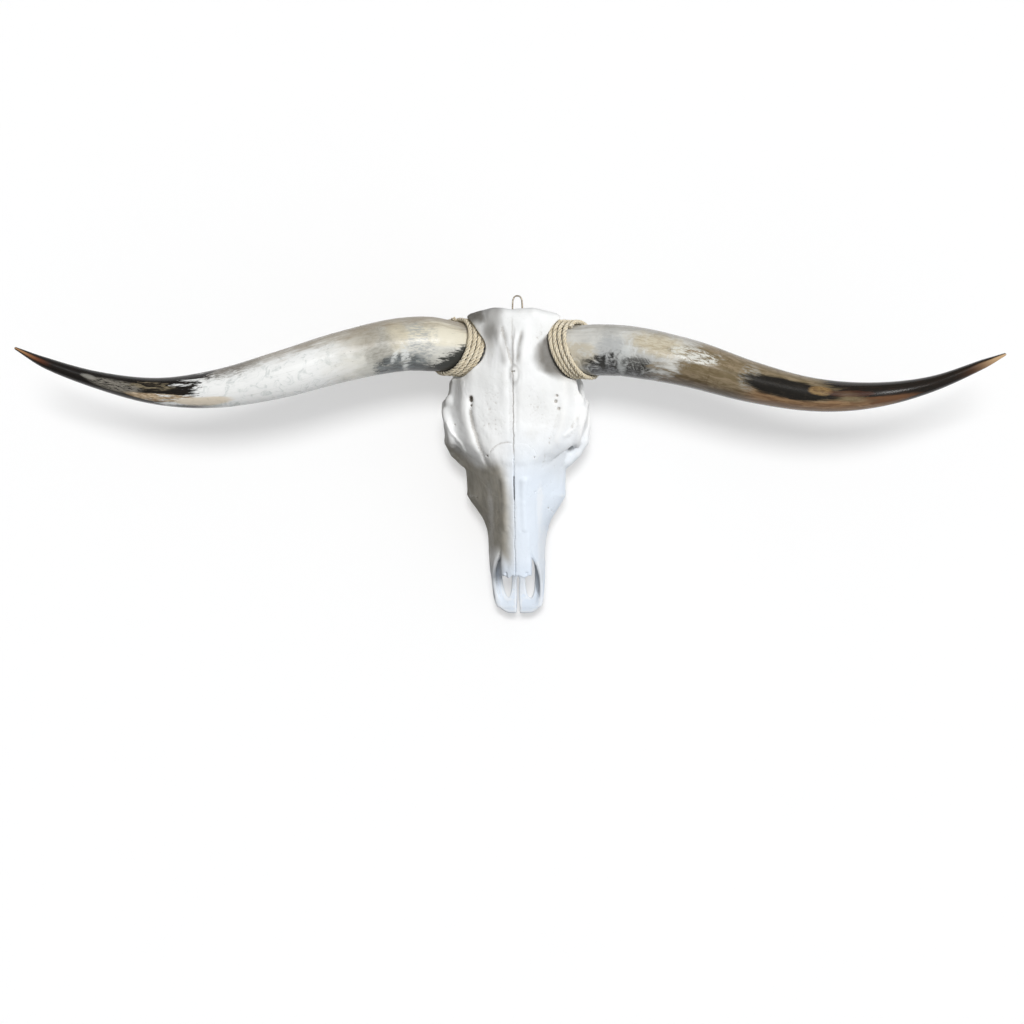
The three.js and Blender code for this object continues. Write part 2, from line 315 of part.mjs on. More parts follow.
function simplify([P, F], target, cap = Infinity) { // edge collapse by quadric error, keeping the surface closed and its faces unturned
  const n = P.length / 3, Q = new Float64Array(n * 10), faces = Array.from({ length: n }, () => new Set()), alive = new Uint8Array(F.length).fill(1), stamp = new Uint32Array(n);
  const pos = (i) => [P[3 * i], P[3 * i + 1], P[3 * i + 2]];
  const cross = (a, b, c) => { const u = [b[0] - a[0], b[1] - a[1], b[2] - a[2]], w = [c[0] - a[0], c[1] - a[1], c[2] - a[2]]; return [u[1] * w[2] - u[2] * w[1], u[2] * w[0] - u[0] * w[2], u[0] * w[1] - u[1] * w[0]]; };
  F.forEach((f, i) => {
    const N = cross(pos(f[0]), pos(f[1]), pos(f[2])), L = len3(...N);
    f.forEach((q) => faces[q].add(i));
    if (L < 1e-9) return;
    const a = N[0] / L, b = N[1] / L, c = N[2] / L, d = -(a * P[3 * f[0]] + b * P[3 * f[0] + 1] + c * P[3 * f[0] + 2]), w = L / 2, e = [a * a, a * b, a * c, a * d, b * b, b * c, b * d, c * c, c * d, d * d];
    f.forEach((q) => e.forEach((t, k) => (Q[q * 10 + k] += w * t)));
  });
  const cost = (q, p) => q[0] * p[0] * p[0] + 2 * q[1] * p[0] * p[1] + 2 * q[2] * p[0] * p[2] + 2 * q[3] * p[0] + q[4] * p[1] * p[1] + 2 * q[5] * p[1] * p[2] + 2 * q[6] * p[1] + q[7] * p[2] * p[2] + 2 * q[8] * p[2] + q[9];
  const best = (i, j) => {
    const q = []; for (let k = 0; k < 10; k++) q.push(Q[i * 10 + k] + Q[j * 10 + k]);
    const a = pos(i), b = pos(j), mid = [0, 1, 2].map((k) => (a[k] + b[k]) / 2), len2 = (a[0] - b[0]) ** 2 + (a[1] - b[1]) ** 2 + (a[2] - b[2]) ** 2;
    let p = null;
    const det = q[0] * (q[4] * q[7] - q[5] * q[5]) - q[1] * (q[1] * q[7] - q[5] * q[2]) + q[2] * (q[1] * q[5] - q[4] * q[2]), tr = q[0] + q[4] + q[7];
    if (det > 1e-4 * tr * tr * tr) {
      const r = [-q[3], -q[6], -q[8]];
      p = [(r[0] * (q[4] * q[7] - q[5] * q[5]) - q[1] * (r[1] * q[7] - q[5] * r[2]) + q[2] * (r[1] * q[5] - q[4] * r[2])) / det,
        (q[0] * (r[1] * q[7] - r[2] * q[5]) - r[0] * (q[1] * q[7] - q[5] * q[2]) + q[2] * (q[1] * r[2] - r[1] * q[2])) / det,
        (q[0] * (q[4] * r[2] - q[5] * r[1]) - q[1] * (q[1] * r[2] - r[1] * q[2]) + r[0] * (q[1] * q[5] - q[4] * q[2])) / det];
      if ((p[0] - mid[0]) ** 2 + (p[1] - mid[1]) ** 2 + (p[2] - mid[2]) ** 2 > len2) p = null;
    }
    if (!p) p = [a, b, mid].sort((s, t) => cost(q, s) - cost(q, t))[0];
    return [Math.max(cost(q, p), 0) + 1e-5 * len2, p];
  };
  const heap = [], push = (e) => { heap.push(e); let i = heap.length - 1; while (i) { const u = (i - 1) >> 1; if (heap[u][0] <= heap[i][0]) break; [heap[u], heap[i]] = [heap[i], heap[u]]; i = u; } };
  const pop = () => { const top = heap[0], last = heap.pop(); if (heap.length) { heap[0] = last; let i = 0; for (;;) { let c = 2 * i + 1; if (c >= heap.length) break; if (c + 1 < heap.length && heap[c + 1][0] < heap[c][0]) c++; if (heap[i][0] <= heap[c][0]) break; [heap[c], heap[i]] = [heap[i], heap[c]]; i = c; } } return top; };
  const add = (i, j) => { const [c, p] = best(i, j); push([c, i, j, stamp[i], stamp[j], p]); };
  F.forEach((f) => { for (let k = 0; k < 3; k++) if (f[k] < f[(k + 1) % 3]) add(f[k], f[(k + 1) % 3]); });
  let count = F.length;
  const ring = (i) => { const s = new Set(); for (const t of faces[i]) for (const q of F[t]) if (q !== i) s.add(q); return s; };
  while (count > target && heap.length) {
    const [c0, i, j, si, sj, p] = pop();
    if (c0 > cap) break;
    if (stamp[i] !== si || stamp[j] !== sj || !faces[i].size || !faces[j].size) continue;
    const ri = ring(i), rj = ring(j);
    if (!ri.has(j)) continue;
    let shared = 0;
    for (const q of ri) if (rj.has(q)) shared++;
    if (shared !== 2) continue;
    let ok = true;
    for (const [s, o] of [[i, j], [j, i]]) {
      for (const t of faces[s]) {
        if (F[t].includes(o)) continue;
        const a = F[t].map(pos), b = F[t].map((q) => (q === s ? p : pos(q))), N = cross(...a), M = cross(...b), ln = len3(...N), lm = len3(...M);
        if (lm < 0.02 || (ln > 0.02 && N[0] * M[0] + N[1] * M[1] + N[2] * M[2] < 0.25 * ln * lm)) { ok = false; break; }
      }
      if (!ok) break;
    }
    if (!ok) continue;
    for (const t of [...faces[j]]) {
      if (F[t].includes(i)) { F[t].forEach((q) => faces[q].delete(t)); alive[t] = 0; count--; }
      else { F[t] = F[t].map((q) => (q === j ? i : q)); faces[i].add(t); }
    }
    faces[j].clear();
    for (let k = 0; k < 3; k++) P[3 * i + k] = p[k];
    for (let k = 0; k < 10; k++) Q[i * 10 + k] += Q[j * 10 + k];
    stamp[i]++; stamp[j]++;
    for (const q of ring(i)) add(i, q);
  }
  return [P, F.filter((_, t) => alive[t])];
}
function toGeometry([P, F]) {
  const map = new Map(), out = [], idx = [];
  for (const f of F) for (const q of f) { if (!map.has(q)) { map.set(q, out.length / 3); out.push(P[3 * q], P[3 * q + 1], P[3 * q + 2]); } idx.push(map.get(q)); }
  const g = new THREE.BufferGeometry();
  g.setAttribute("position", new THREE.Float32BufferAttribute(out, 3));
  g.setIndex(idx);
  return g;
}

// ---------------------------------------------------------------- solids
const wasm = await Module();
wasm.setup();
function solid(geometry) {
  const g = geometry.clone();
  for (const n of Object.keys(g.attributes)) if (n !== "position") g.deleteAttribute(n);
  const m = mergeVertices(g, 1e-4);
  return new wasm.Manifold(new wasm.Mesh({ numProp: 3, vertProperties: new Float32Array(m.attributes.position.array), triVerts: new Uint32Array(m.index.array) }));
}
function geometryOf(s, move) {
  const m = s.getMesh(), np = m.numProp, out = [];
  for (let i = 0; i < m.vertProperties.length; i += np) out.push(...move(m.vertProperties[i], m.vertProperties[i + 1], m.vertProperties[i + 2]));
  const g = new THREE.BufferGeometry();
  g.setAttribute("position", new THREE.Float32BufferAttribute(out, 3));
  g.setIndex(Array.from(m.triVerts));
  return g;
}
// drops the needless slivers that a cut leaves on a flat or nearly flat face
function tidy(s, cap = 0.04) {
  const m = s.getMesh(), P = [], F = [];
  for (let i = 0; i < m.vertProperties.length; i += m.numProp) P.push(m.vertProperties[i], m.vertProperties[i + 1], m.vertProperties[i + 2]);
  for (let i = 0; i < m.triVerts.length; i += 3) F.push([m.triVerts[i], m.triVerts[i + 1], m.triVerts[i + 2]]);
  return solid(toGeometry(simplify([P, F], 40, cap)));
}
const biggest = (s) => s.decompose().sort((a, b) => b.volume() - a.volume())[0];
// a prism over a loop in the side plane (v, z), from x = lo to x = hi
function sidePrism(loop, lo, hi) {
  const shape = new THREE.Shape(loop.map(([v, z]) => new THREE.Vector2(v, z)));
  const g = new THREE.ExtrudeGeometry(shape, { depth: hi - lo, bevelEnabled: false, steps: 1 });
  const a = g.attributes.position;
  for (let i = 0; i < a.count; i++) a.setXYZ(i, lo + a.getZ(i), a.getX(i), a.getY(i));
  return solid(g);
}
// a prism over a loop in the top plane (x, v), from its sloping floor z = base + rise * v up
function topPrism(loop, base, rise, high) {
  const shape = new THREE.Shape(loop.map(([x, v]) => new THREE.Vector2(x, v)));
  const g = new THREE.ExtrudeGeometry(shape, { depth: high, bevelEnabled: false, steps: 1 });
  const a = g.attributes.position;
  for (let i = 0; i < a.count; i++) a.setZ(i, a.getZ(i) + base + rise * a.getY(i));
  return solid(g);
}
const G = GAP / 2;

const half = simplify(largest(surface()), BONE_TRIANGLES);
let rest = solid(toGeometry(half));
{ // the flats that the skull stands on
  const floor = new THREE.BoxGeometry(400, 600, 40);
  floor.translate(0, 200, REST - 20);
  rest = rest.subtract(solid(floor));
}
const pieces = {};
function part(name, keep, clear) { // takes one bone out of what is left
  pieces[name] = biggest(rest.intersect(keep));
  return clear;
}
// nasal bones: a strip along the roof of the nose, ending in a zigzag against the forehead
function nasalLoop(g, side) {
  const out = [], end = [[0, 213], [8, 214.5], [16, 213], [22, 209], [26.5, 203]];
  const lo = side ? G : 0;
  for (const v of [20, 46, 84, 130, 165, 185, 197]) out.push([roofHalf(v) + 0.8 + g, v]);
  for (const [x, v] of [...end].reverse()) out.push([Math.max(x > 20 ? x + g : x, lo), v + g]);
  if (side) { out.push([lo, 20]); return out.map(([x, v]) => [side * x, v]); }
  return [...out, ...out.map(([x, v]) => [-x, v]).reverse().slice(1)];
}
{
  const clear = topPrism(nasalLoop(G, 0), 56 - 0, 0.21, 90);
  for (const [s, n] of [[-1, "nasal_left"], [1, "nasal_right"]]) part(n, topPrism(nasalLoop(-G, s), 56 + 2 * G, 0.21, 89));
  rest = biggest(rest.subtract(clear));
}
// partition plate of the nose
{
  const b = (g) => sidePrism([[60, 37.2 - g], [183 + g, 37.2 - g], [183 + g, 104], [60, 88]], -4 - g, 4 + g);
  part("vomer", b(-G));
  rest = biggest(rest.subtract(b(G)));
}
// incisive bones: tip of the upper jaw and the strip that climbs its side to the nasal bones
{
  const b = (g, lo, hi) => sidePrism([[-20, 0], [49 - 21 + g, 0], [104 + g, 101.3], [60, 140], [-20, 140]], lo, hi);
  part("incisive_left", b(-G, -120, -G));
  part("incisive_right", b(-G, G, 120));
  rest = rest.subtract(b(G, -120, 120));
}
// cheekbones
{
  const b = (g, lo, hi) => sidePrism([[199 - g, 64 + g], [190 - g, 50], [196 - g, 36 - g], [250, 30 - g], [286 + g, 40 - g], [278 + g, 90 + g], [216, 84 + g]], lo, hi);
  part("zygomatic_left", b(-G, -130, -60 - G));
  part("zygomatic_right", b(-G, 60 + G, 130));
  rest = rest.subtract(b(G, -130, -60 + G)).subtract(b(G, 60 - G, 130));
}
// upper jaws with the cheek teeth
{
  const b = (g, lo, hi) => sidePrism([[10, -20], [224 + g, -20], [224 + g, 28], [216 + g, 48 + g], [192 + g, 63 + g], [150 + g, 97 + g], [128 + g, 140], [10, 140]], lo, hi);
  part("maxilla_left", b(-G, -120, -G));
  part("maxilla_right", b(-G, G, 120));
  rest = rest.subtract(b(G, -120, 120));
}
// back of the head and its joint with the neck, then the two halves of the forehead
{
  const b = (g) => sidePrism([[300 - g, -20], [420, -20], [420, 60 + g], [327, 60 + g], [300 - g, 50 + g]], -64 - g, 64 + g).add(sidePrism([[327 - g, 56], [420, 56], [420, 118 + g], [352 - g, 118 + g], [344 - g, 84 + g]], -42 - g, 42 + g));
  part("occipital", b(-G));
  rest = rest.subtract(b(G));
  const all = (lo, hi) => sidePrism([[-50, -50], [500, -50], [500, 300], [-50, 300]], lo, hi);
  part("frontal_left", all(-200, -G));
  part("frontal_right", all(G, 200));
}

// the head's slight roll to one side, and the nose's bend to the other
const wider = curve(WIDER_LEFT);
const warp = (x, v, z) => [x - ROLL * (z - 60) - wider(v) * clamp((-x - 10) / 20, 0, 1) ** 2 * (3 - 2 * clamp((-x - 10) / 20, 0, 1)) + (v < 200 ? BEND * ((200 - Math.max(v, 0)) / 200) ** 1.5 * (1 - 0.85 * Math.exp(-((x / 12) ** 2))) : 0), v, z];

// a closed skin over rings of equal count
function loft(rings) {
  const n = rings[0].length, P = rings.flat(2), F = [], m = rings.length;
  for (let i = 0; i + 1 < m; i++) for (let j = 0; j < n; j++) {
    const a = i * n + j, b = i * n + ((j + 1) % n), c = a + n, d = b + n;
    F.push([a, b, d], [a, d, c]);
  }
  for (const [i, flip] of [[0, true], [m - 1, false]]) {
    const mid = [0, 1, 2].map((k) => rings[i].reduce((s, p) => s + p[k], 0) / n), c = P.length / 3;
    P.push(...mid);
    for (let j = 0; j < n; j++) { const a = i * n + j, b = i * n + ((j + 1) % n); F.push(flip ? [b, a, c] : [a, b, c]); }
  }
  return [P, F];
}
function axisOf(side, stations) { // the horn's middle line and radius
  const root = warp(side * NECK[0], NECK[1], NECK[2]), dir = [side * neckAxis[0], neckAxis[1], neckAxis[2]];
  const pts = [[root[0], root[1], root[2], NECK_R + 0.2], ...stations.map(([o, v, z, r]) => [side * o, v, z, r])];
  const c = new THREE.CatmullRomCurve3([new THREE.Vector3(root[0] - 20 * dir[0], root[1] - 20 * dir[1], root[2] - 20 * dir[2]), ...pts.map((p) => new THREE.Vector3(...p.slice(0, 3)))], false, "centripetal");
  const N = pts.length, radius = curve(pts.map((p, i) => [i + 1, p[3]]));
  return { at: (u) => c.getPoint((1 + u * (N - 1)) / N), tangent: (u) => { const e = 0.002; return c.getPoint(clamp((1 + (u + e) * (N - 1)) / N, 0, 1)).sub(c.getPoint(clamp((1 + (u - e) * (N - 1)) / N, 0, 1))).normalize(); }, radius: (u) => radius(1 + u * (N - 1)), face: new THREE.Vector3(side * neckFace[0], neckFace[1], neckFace[2]) };
}
function frameAt(A, u) { // upright frame round the middle line
  const t = A.tangent(u), up = new THREE.Vector3(0, 0, 1), w = new THREE.Vector3().crossVectors(t, up).normalize(), q = new THREE.Vector3().crossVectors(w, t).normalize();
  return [t, w, q];
}
function around(A, u, angle, r, slant) { // a place at a radius and angle, on the slanted face of the root where slant is 1
  const [t, w, q] = frameAt(A, u), o = w.multiplyScalar(r * Math.cos(angle)).add(q.multiplyScalar(r * Math.sin(angle)));
  const shift = -o.dot(A.face) / t.dot(A.face);
  return A.at(u).add(o).addScaledVector(t, shift * slant);
}
function lengthTo(A, mm) { // how far along the curve a distance from the root is
  let u = 0, run = 0, p = A.at(0);
  while (run < mm && u < 1) { u += 0.0005; const q = A.at(u); run += q.distanceTo(p); p = q; }
  return u;
}
function horn(side, stations, start) {
  const A = axisOf(side, stations), u0 = lengthTo(A, start), rings = [];
  for (let i = 0; i <= HORN_RINGS; i++) {
    const k = i / HORN_RINGS, u = u0 + (1 - u0) * (k < 0.9 ? k : 1 - (1 - k) * 1.0), slant = clamp(1 - (u - u0) / 0.16, 0, 1) ** 1.2, ring = [];
    for (let j = 0; j < HORN_ROUND; j++) { const a = (-j * 2 * Math.PI) / HORN_ROUND, p = around(A, u, a, A.radius(u), slant); ring.push([p.x, p.y, p.z]); }
    rings.push(ring);
  }
  const end = A.at(1), t = A.tangent(1), tip = rings[rings.length - 1].map((p) => [0, 1, 2].map((e) => end.getComponent(e) + (p[e] - end.getComponent(e)) * 0.45 + t.getComponent(e) * 2.6));
  rings.push(tip);
  return toGeometry(loft(rings));
}
function hornSeat(side, stations, start) { // what the horn takes off the end of its core's stub
  const A = axisOf(side, stations), rings = [start - 0.4, start + 46].map((mm) => {
    const u = lengthTo(A, mm), ring = [];
    for (let j = 0; j < 16; j++) { const a = (-j * 2 * Math.PI) / 16, p = around(A, u, a, SEAT_R / Math.cos(Math.PI / 16) + SEAT_FRONT * clamp((SEAT_R * Math.sin(a) - 8) / 16, 0, 1), 1); ring.push([p.x, p.y, p.z]); }
    return ring;
  });
  return solid(toGeometry(loft(rings)));
}
const ropeAt = curve(ROPE_AT);
function rope(side, stations, from) {
  const A = axisOf(side, stations), turns = ROPE_TURNS, n = Math.round(turns * ROPE_STEPS), rings = [], mids = [];
  const table = []; for (let i = -4; i <= 60; i++) table.push(lengthTo(A, Math.max(i, 0)));
  const uOf = (mm) => { const k = clamp(mm + 4, 0, 63.999), i = Math.floor(k); return mm < 0 ? 0 : table[i] + (table[i + 1] - table[i]) * (k - i); };
  for (let i = -1; i <= n + 1; i++) {
    const f = i / ROPE_STEPS, along = from + ROPE_R + ropeAt(f), u = uOf(along), a = -side * (f * 2 * Math.PI) + (side < 0 ? 4.5 : -2.2);
    const [t, w, q] = frameAt(A, u), o = w.multiplyScalar(Math.cos(a)).add(q.multiplyScalar(Math.sin(a)));
    const shift = (-o.dot(A.face) / t.dot(A.face)) * A.radius(u); // a slanted turn meets the horn where it is thicker
    mids.push(around(A, u, a, Math.max(A.radius(u), A.radius(uOf(along + shift))) + ROPE_R + 0.98, 1));
  }
  for (let i = 1; i <= n + 1; i++) {
    const t = mids[i + 1].clone().sub(mids[i - 1]).normalize(), c = A.at(uOf(from)), out = mids[i].clone().sub(c);
    const e1 = out.addScaledVector(t, -out.dot(t)).normalize(), e2 = new THREE.Vector3().crossVectors(t, e1), ring = [];
    for (let j = 0; j < ROPE_SIDES; j++) { const b = ((j + 0.5) * 2 * Math.PI) / ROPE_SIDES, p = mids[i].clone().addScaledVector(e1, ROPE_R * Math.cos(b)).addScaledVector(e2, ROPE_R * Math.sin(b)); ring.push([p.x, p.y, p.z]); }
    rings.push(ring);
  }
  return toGeometry(loft(rings));
}
// hanging loop: one wire whose two ends sit in holes in the back of the head
const wireX = -0.06 * (WIRE_Z - 60) + 4.2;
function wirePath(low) {
  const pts = [[-1, 361], [-1, 372], [-1, 385], [-0.93, 392]];
  const P = pts.map(([k, v]) => new THREE.Vector3(wireX + k * WIRE_HALF, v, WIRE_Z));
  for (let i = 1; i < 12; i++) { const a = Math.PI - (i / 12) * Math.PI; P.push(new THREE.Vector3(wireX + WIRE_HALF * 0.86 * Math.cos(a), 392.6 + (WIRE_TOP - WIRE_R - 392.6) * Math.sin(a), WIRE_Z)); }
  for (const [k, v] of [...pts].reverse()) P.push(new THREE.Vector3(wireX - k * WIRE_HALF, v, WIRE_Z));
  return new THREE.CatmullRomCurve3(P, false, "centripetal");
}
function tubeOf(path, r, sides, steps) {
  const shape = new THREE.Shape();
  for (let j = 0; j < sides; j++) { const a = (j * 2 * Math.PI) / sides; j ? shape.lineTo(r * Math.cos(a), r * Math.sin(a)) : shape.moveTo(r, 0); }
  shape.closePath();
  return new THREE.ExtrudeGeometry(shape, { steps, bevelEnabled: false, extrudePath: path });
}

// ---------------------------------------------------------------- the model
const bone = () => new THREE.MeshStandardMaterial({ color: 0xe9e6df, roughness: 0.7, metalness: 0 });
const group = new THREE.Group();
group.position.set(...CENTRE.map((q) => q * SIZE));
group.scale.setScalar(SIZE);
function place(name, geometry, material) {
  const m = new THREE.Mesh(geometry, material);
  m.name = name;
  group.add(m);
}
// the two holes that take the wire
const wireTool = solid(tubeOf(wirePath(), WIRE_R + GAP, 8, 40));
for (const [name, raw] of Object.entries(pieces)) {
  const s = tidy(raw);
  const moved = geometryOf(s, warp);
  place(name, /frontal|occipital/.test(name) ? geometryOf(biggest(solid(moved).subtract(wireTool).subtract(hornSeat(-1, HORN_LEFT, START_LEFT)).subtract(hornSeat(1, HORN_RIGHT, START_RIGHT))), (x, v, z) => [x, v, z]) : moved, bone());
}
place("horn_left", horn(-1, HORN_LEFT, START_LEFT), new THREE.MeshStandardMaterial({ color: 0xb9b3a6, roughness: 0.3 }));
place("horn_right", horn(1, HORN_RIGHT, START_RIGHT), new THREE.MeshStandardMaterial({ color: 0x8a6a4a, roughness: 0.3 }));
place("rope_left", rope(-1, HORN_LEFT, ROPE_LEFT), new THREE.MeshStandardMaterial({ color: 0xcbb892, roughness: 0.95 }));
place("rope_right", rope(1, HORN_RIGHT, ROPE_RIGHT), new THREE.MeshStandardMaterial({ color: 0xcbb892, roughness: 0.95 }));
place("hanger_wire", tubeOf(wirePath(), WIRE_R, 6, 24), new THREE.MeshStandardMaterial({ color: 0x9a948c, roughness: 0.4, metalness: 1 }));
export default group;
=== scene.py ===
# Longhorn steer skull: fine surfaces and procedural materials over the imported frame.
import math
import bpy
import numpy as np
import openvdb
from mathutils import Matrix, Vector


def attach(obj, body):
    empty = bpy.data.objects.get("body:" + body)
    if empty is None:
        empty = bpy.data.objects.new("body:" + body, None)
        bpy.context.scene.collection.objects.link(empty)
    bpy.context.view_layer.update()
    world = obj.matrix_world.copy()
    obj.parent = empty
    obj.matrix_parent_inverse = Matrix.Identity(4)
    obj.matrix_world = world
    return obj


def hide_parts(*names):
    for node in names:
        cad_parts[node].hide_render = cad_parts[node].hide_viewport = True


for extra in ("Cube", "Light", "Camera"):
    if extra in bpy.data.objects: bpy.data.objects.remove(bpy.data.objects[extra])
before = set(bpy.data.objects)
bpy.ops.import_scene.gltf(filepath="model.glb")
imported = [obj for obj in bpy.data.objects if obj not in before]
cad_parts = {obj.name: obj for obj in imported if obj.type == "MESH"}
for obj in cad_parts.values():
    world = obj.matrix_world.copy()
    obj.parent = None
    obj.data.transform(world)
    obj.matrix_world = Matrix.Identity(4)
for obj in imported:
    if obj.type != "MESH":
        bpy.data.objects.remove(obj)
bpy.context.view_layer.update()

MM = 0.001
SIZE = 1.0052
REST = 0.5
CENTRE = np.array([8.0, -199.3, -REST])
ROLL, BEND, GAP = 0.06, 3.5, 0.3
STEP = 1.1

# ------------------------------------------------------------------ profile stations: [place from the nose tip, size]
ROOF_Z = [[0,80],[46,88],[84,97],[130,107],[170,115],[205,121.5],[225,125],[250,131],[280,138],[310,144],[340,149],[360,150.5],[372,147],[381,138]]
ROOF_HALF = [[0,17],[46,17.5],[84,18.5],[130,18],[170,20],[200,26],[225,36],[240,44]]
ROOF_DROP = [[0,6],[46,6],[84,6.5],[130,7],[170,6.5],[200,5.5],[240,5]]
MID_HALF = [[0,24],[46,27],[84,28],[130,32],[170,40],[200,52],[225,64],[240,68]]
MID_Z = [[0,60],[46,66],[84,74],[130,80],[170,85],[200,90],[240,96]]
CREST_HALF = [[0,26],[20,29],[46,31.5],[84,34.3],[106,37],[119,42],[131,49.5],[144,58.3],[151,61.8],[160,61.3],[182,62],[194,64],[205,66],[225,60],[240,55]]
CREST_Z = [[0,34],[46,38],[84,42],[119,46],[151,48],[182,53],[205,56],[240,58]]
GUM_HALF = [[0,24],[46,29],[84,31],[106,34.5],[131,41.5],[151,48],[182,52.5],[205,52],[218,46],[232,36],[240,30]]
GUM_Z = [[0,30],[46,30],[84,30],[106,27],[131,23],[151,20],[182,17],[205,17],[218,20],[240,34]]
GUM_IN = [[0,20],[84,23],[106,24.5],[131,28],[151,31],[182,34],[205,34],[218,30],[240,22]]
PALATE_Z = [[0,30],[46,31.5],[84,32],[106,33.5],[131,34],[182,33.5],[218,35],[240,48]]
FRONT_HALF = [[185,34],[195,46],[205,62],[217,76],[232,84],[250,87],[262,85],[272,82],[285,79],[300,76],[315,69],[335,62],[360,60],[378,54],[382,48]]
FRONT_EDGE_Z = [[185,96],[205,93],[232,97],[250,100],[270,103],[300,107],[340,114],[382,121]]
POLL_EDGE = [[0,377.5],[22,380.5],[44,374.5],[67,368],[90,362]]
NOSE_EDGE_Z = [[0,36],[10,37],[20,40],[32,46],[46,56],[60,70],[74,84],[84,93],[90,104]]
TIP_HALF = [[0,15.5],[3,19.5],[6,23],[10.7,26.6],[17,29.4],[30,30.8],[43,31.4],[66,33]]
TIP_TOP = [[0,33.5],[8,36],[20,37],[45,37],[70,38]]
TIP_UNDER = [[0,27.5],[6,27],[20,28.5],[45,29.5],[70,30.5]]
TIP_GAP_HALF = [[0,2.1],[20,1.8],[40,1.4],[60,1.2]]
TEETH = [[111,13,7,8,1],[125.5,15,7,5,1],[141,15.5,7,2.6,1],[158.5,19,9.2,1,2],[179.5,22,9.2,0,2],[203,24,9.2,0,2]]
TOOTH_ROW_X = [[104,30],[131,35],[151,39],[182,43.5],[216,42]]
EYE, EYE_OUT, EYE_R = (82,239,77.5), (0.965,-0.22,-0.03), 26
NECK, NECK_AXIS, NECK_FACE, NECK_R = (52.5,332.6,98.9), (0.9,0.05,0.43), (0.79,0.24,0.56), 30.2
HORN_LEFT = [[77,334.8,110.5,31.0],[107,337.4,120,33.9],[144,335.8,130,33.2],[217,319.8,141,31.2],[291,297.6,147,29.1],[364,281,150,24.2],[438,277.2,152,17.2],[511,290,154,11.3],[577,311.6,161,6.8],[611.5,328.6,164,2.2]]
HORN_RIGHT = [[77,331,111,30.8],[103,330,121,32.0],[140,327.3,131,31.8],[213,312,144,29.6],[287,289,150,25.7],[360,273.4,154,21.3],[433,272,156,16.5],[506,285,157,10.4],[572,310.4,164,5.6],[595.5,321,167,2.2]]
ROPE_R, ROPE_TURNS, ROPE_AT = 2.75, 4.25, [[-1,-5.9],[0,0],[1,5.9],[2,12.0],[3,19.2],[4,25.2],[5,31.2]]
START_LEFT, START_RIGHT, ROPE_LEFT, ROPE_RIGHT = 1.8, 9.2, 2.2, 9.6
SEAT_R, SEAT_FRONT, TEMPLE_DIP = 38.4, 1.2, 4.5
WIDER_LEFT = [[-5,2],[30,3.6],[70,4.4],[100,2.2],[140,1.6],[185,2.4],[205,2.4],[228,0],[400,0]]
WIRE_R, WIRE_HALF, WIRE_TOP, WIRE_Z = 1.0, 6.0, 398.8, 112

# ------------------------------------------------------------------ curves and field
f32 = np.float32
def slopes(xs, ys):
    h = np.diff(xs); d = np.diff(ys) / h
    m = np.zeros(len(xs)); m[0], m[-1] = d[0], d[-1]
    for i in range(1, len(xs) - 1):
        if d[i-1] * d[i] > 0:
            w1, w2 = 2*h[i] + h[i-1], h[i] + 2*h[i-1]
            m[i] = (w1 + w2) / (w1/d[i-1] + w2/d[i])
    return m
def curve(st, v):
    xs = np.array([s[0] for s in st], float); ys = np.array([s[1] for s in st], float)
    v = np.clip(np.asarray(v, float), xs[0], xs[-1]); h = np.diff(xs); m = slopes(xs, ys)
    i = np.clip(np.searchsorted(xs, v, side="right") - 1, 0, len(xs) - 2)
    t = (v - xs[i]) / h[i]
    return (2*t**3 - 3*t**2 + 1)*ys[i] + (t**3 - 2*t**2 + t)*h[i]*m[i] + (-2*t**3 + 3*t**2)*ys[i+1] + (t**3 - t**2)*h[i]*m[i+1]
TABLE = np.arange(-20, 400, 0.25)
def tabled(st):
    tab = curve(st, TABLE).astype(f32)
    return lambda v: np.interp(v, TABLE, tab).astype(f32)
C = {k: tabled(s) for k, s in dict(roof_z=ROOF_Z, roof_half=ROOF_HALF, roof_drop=ROOF_DROP, mid_half=MID_HALF, mid_z=MID_Z, crest_half=CREST_HALF, crest_z=CREST_Z,
     gum_half=GUM_HALF, gum_z=GUM_Z, gum_in=GUM_IN, palate_z=PALATE_Z, front_half=FRONT_HALF, front_edge=FRONT_EDGE_Z, poll=POLL_EDGE, nose_edge=NOSE_EDGE_Z,
     tip_half=TIP_HALF, tip_top=TIP_TOP, tip_under=TIP_UNDER, tip_gap=TIP_GAP_HALF).items()}
def smin(a, b, k):
    h = np.clip(0.5 + 0.5*(b - a)/k, 0, 1)
    return b + (a - b)*h - k*h*(1 - h)
def smax(a, b, k): return -smin(-a, -b, k)
def unit(a): a = np.array(a, float); return a / np.linalg.norm(a)
def rot(deg):
    ax, ay, az = np.radians(deg)
    cx, sx, cy, sy, cz, sz = np.cos(ax), np.sin(ax), np.cos(ay), np.sin(ay), np.cos(az), np.sin(az)
    return np.array([[cz,-sz,0],[sz,cz,0],[0,0,1]]) @ np.array([[cy,0,sy],[0,1,0],[-sy,0,cy]]) @ np.array([[1,0,0],[0,cx,-sx],[0,sx,cx]])

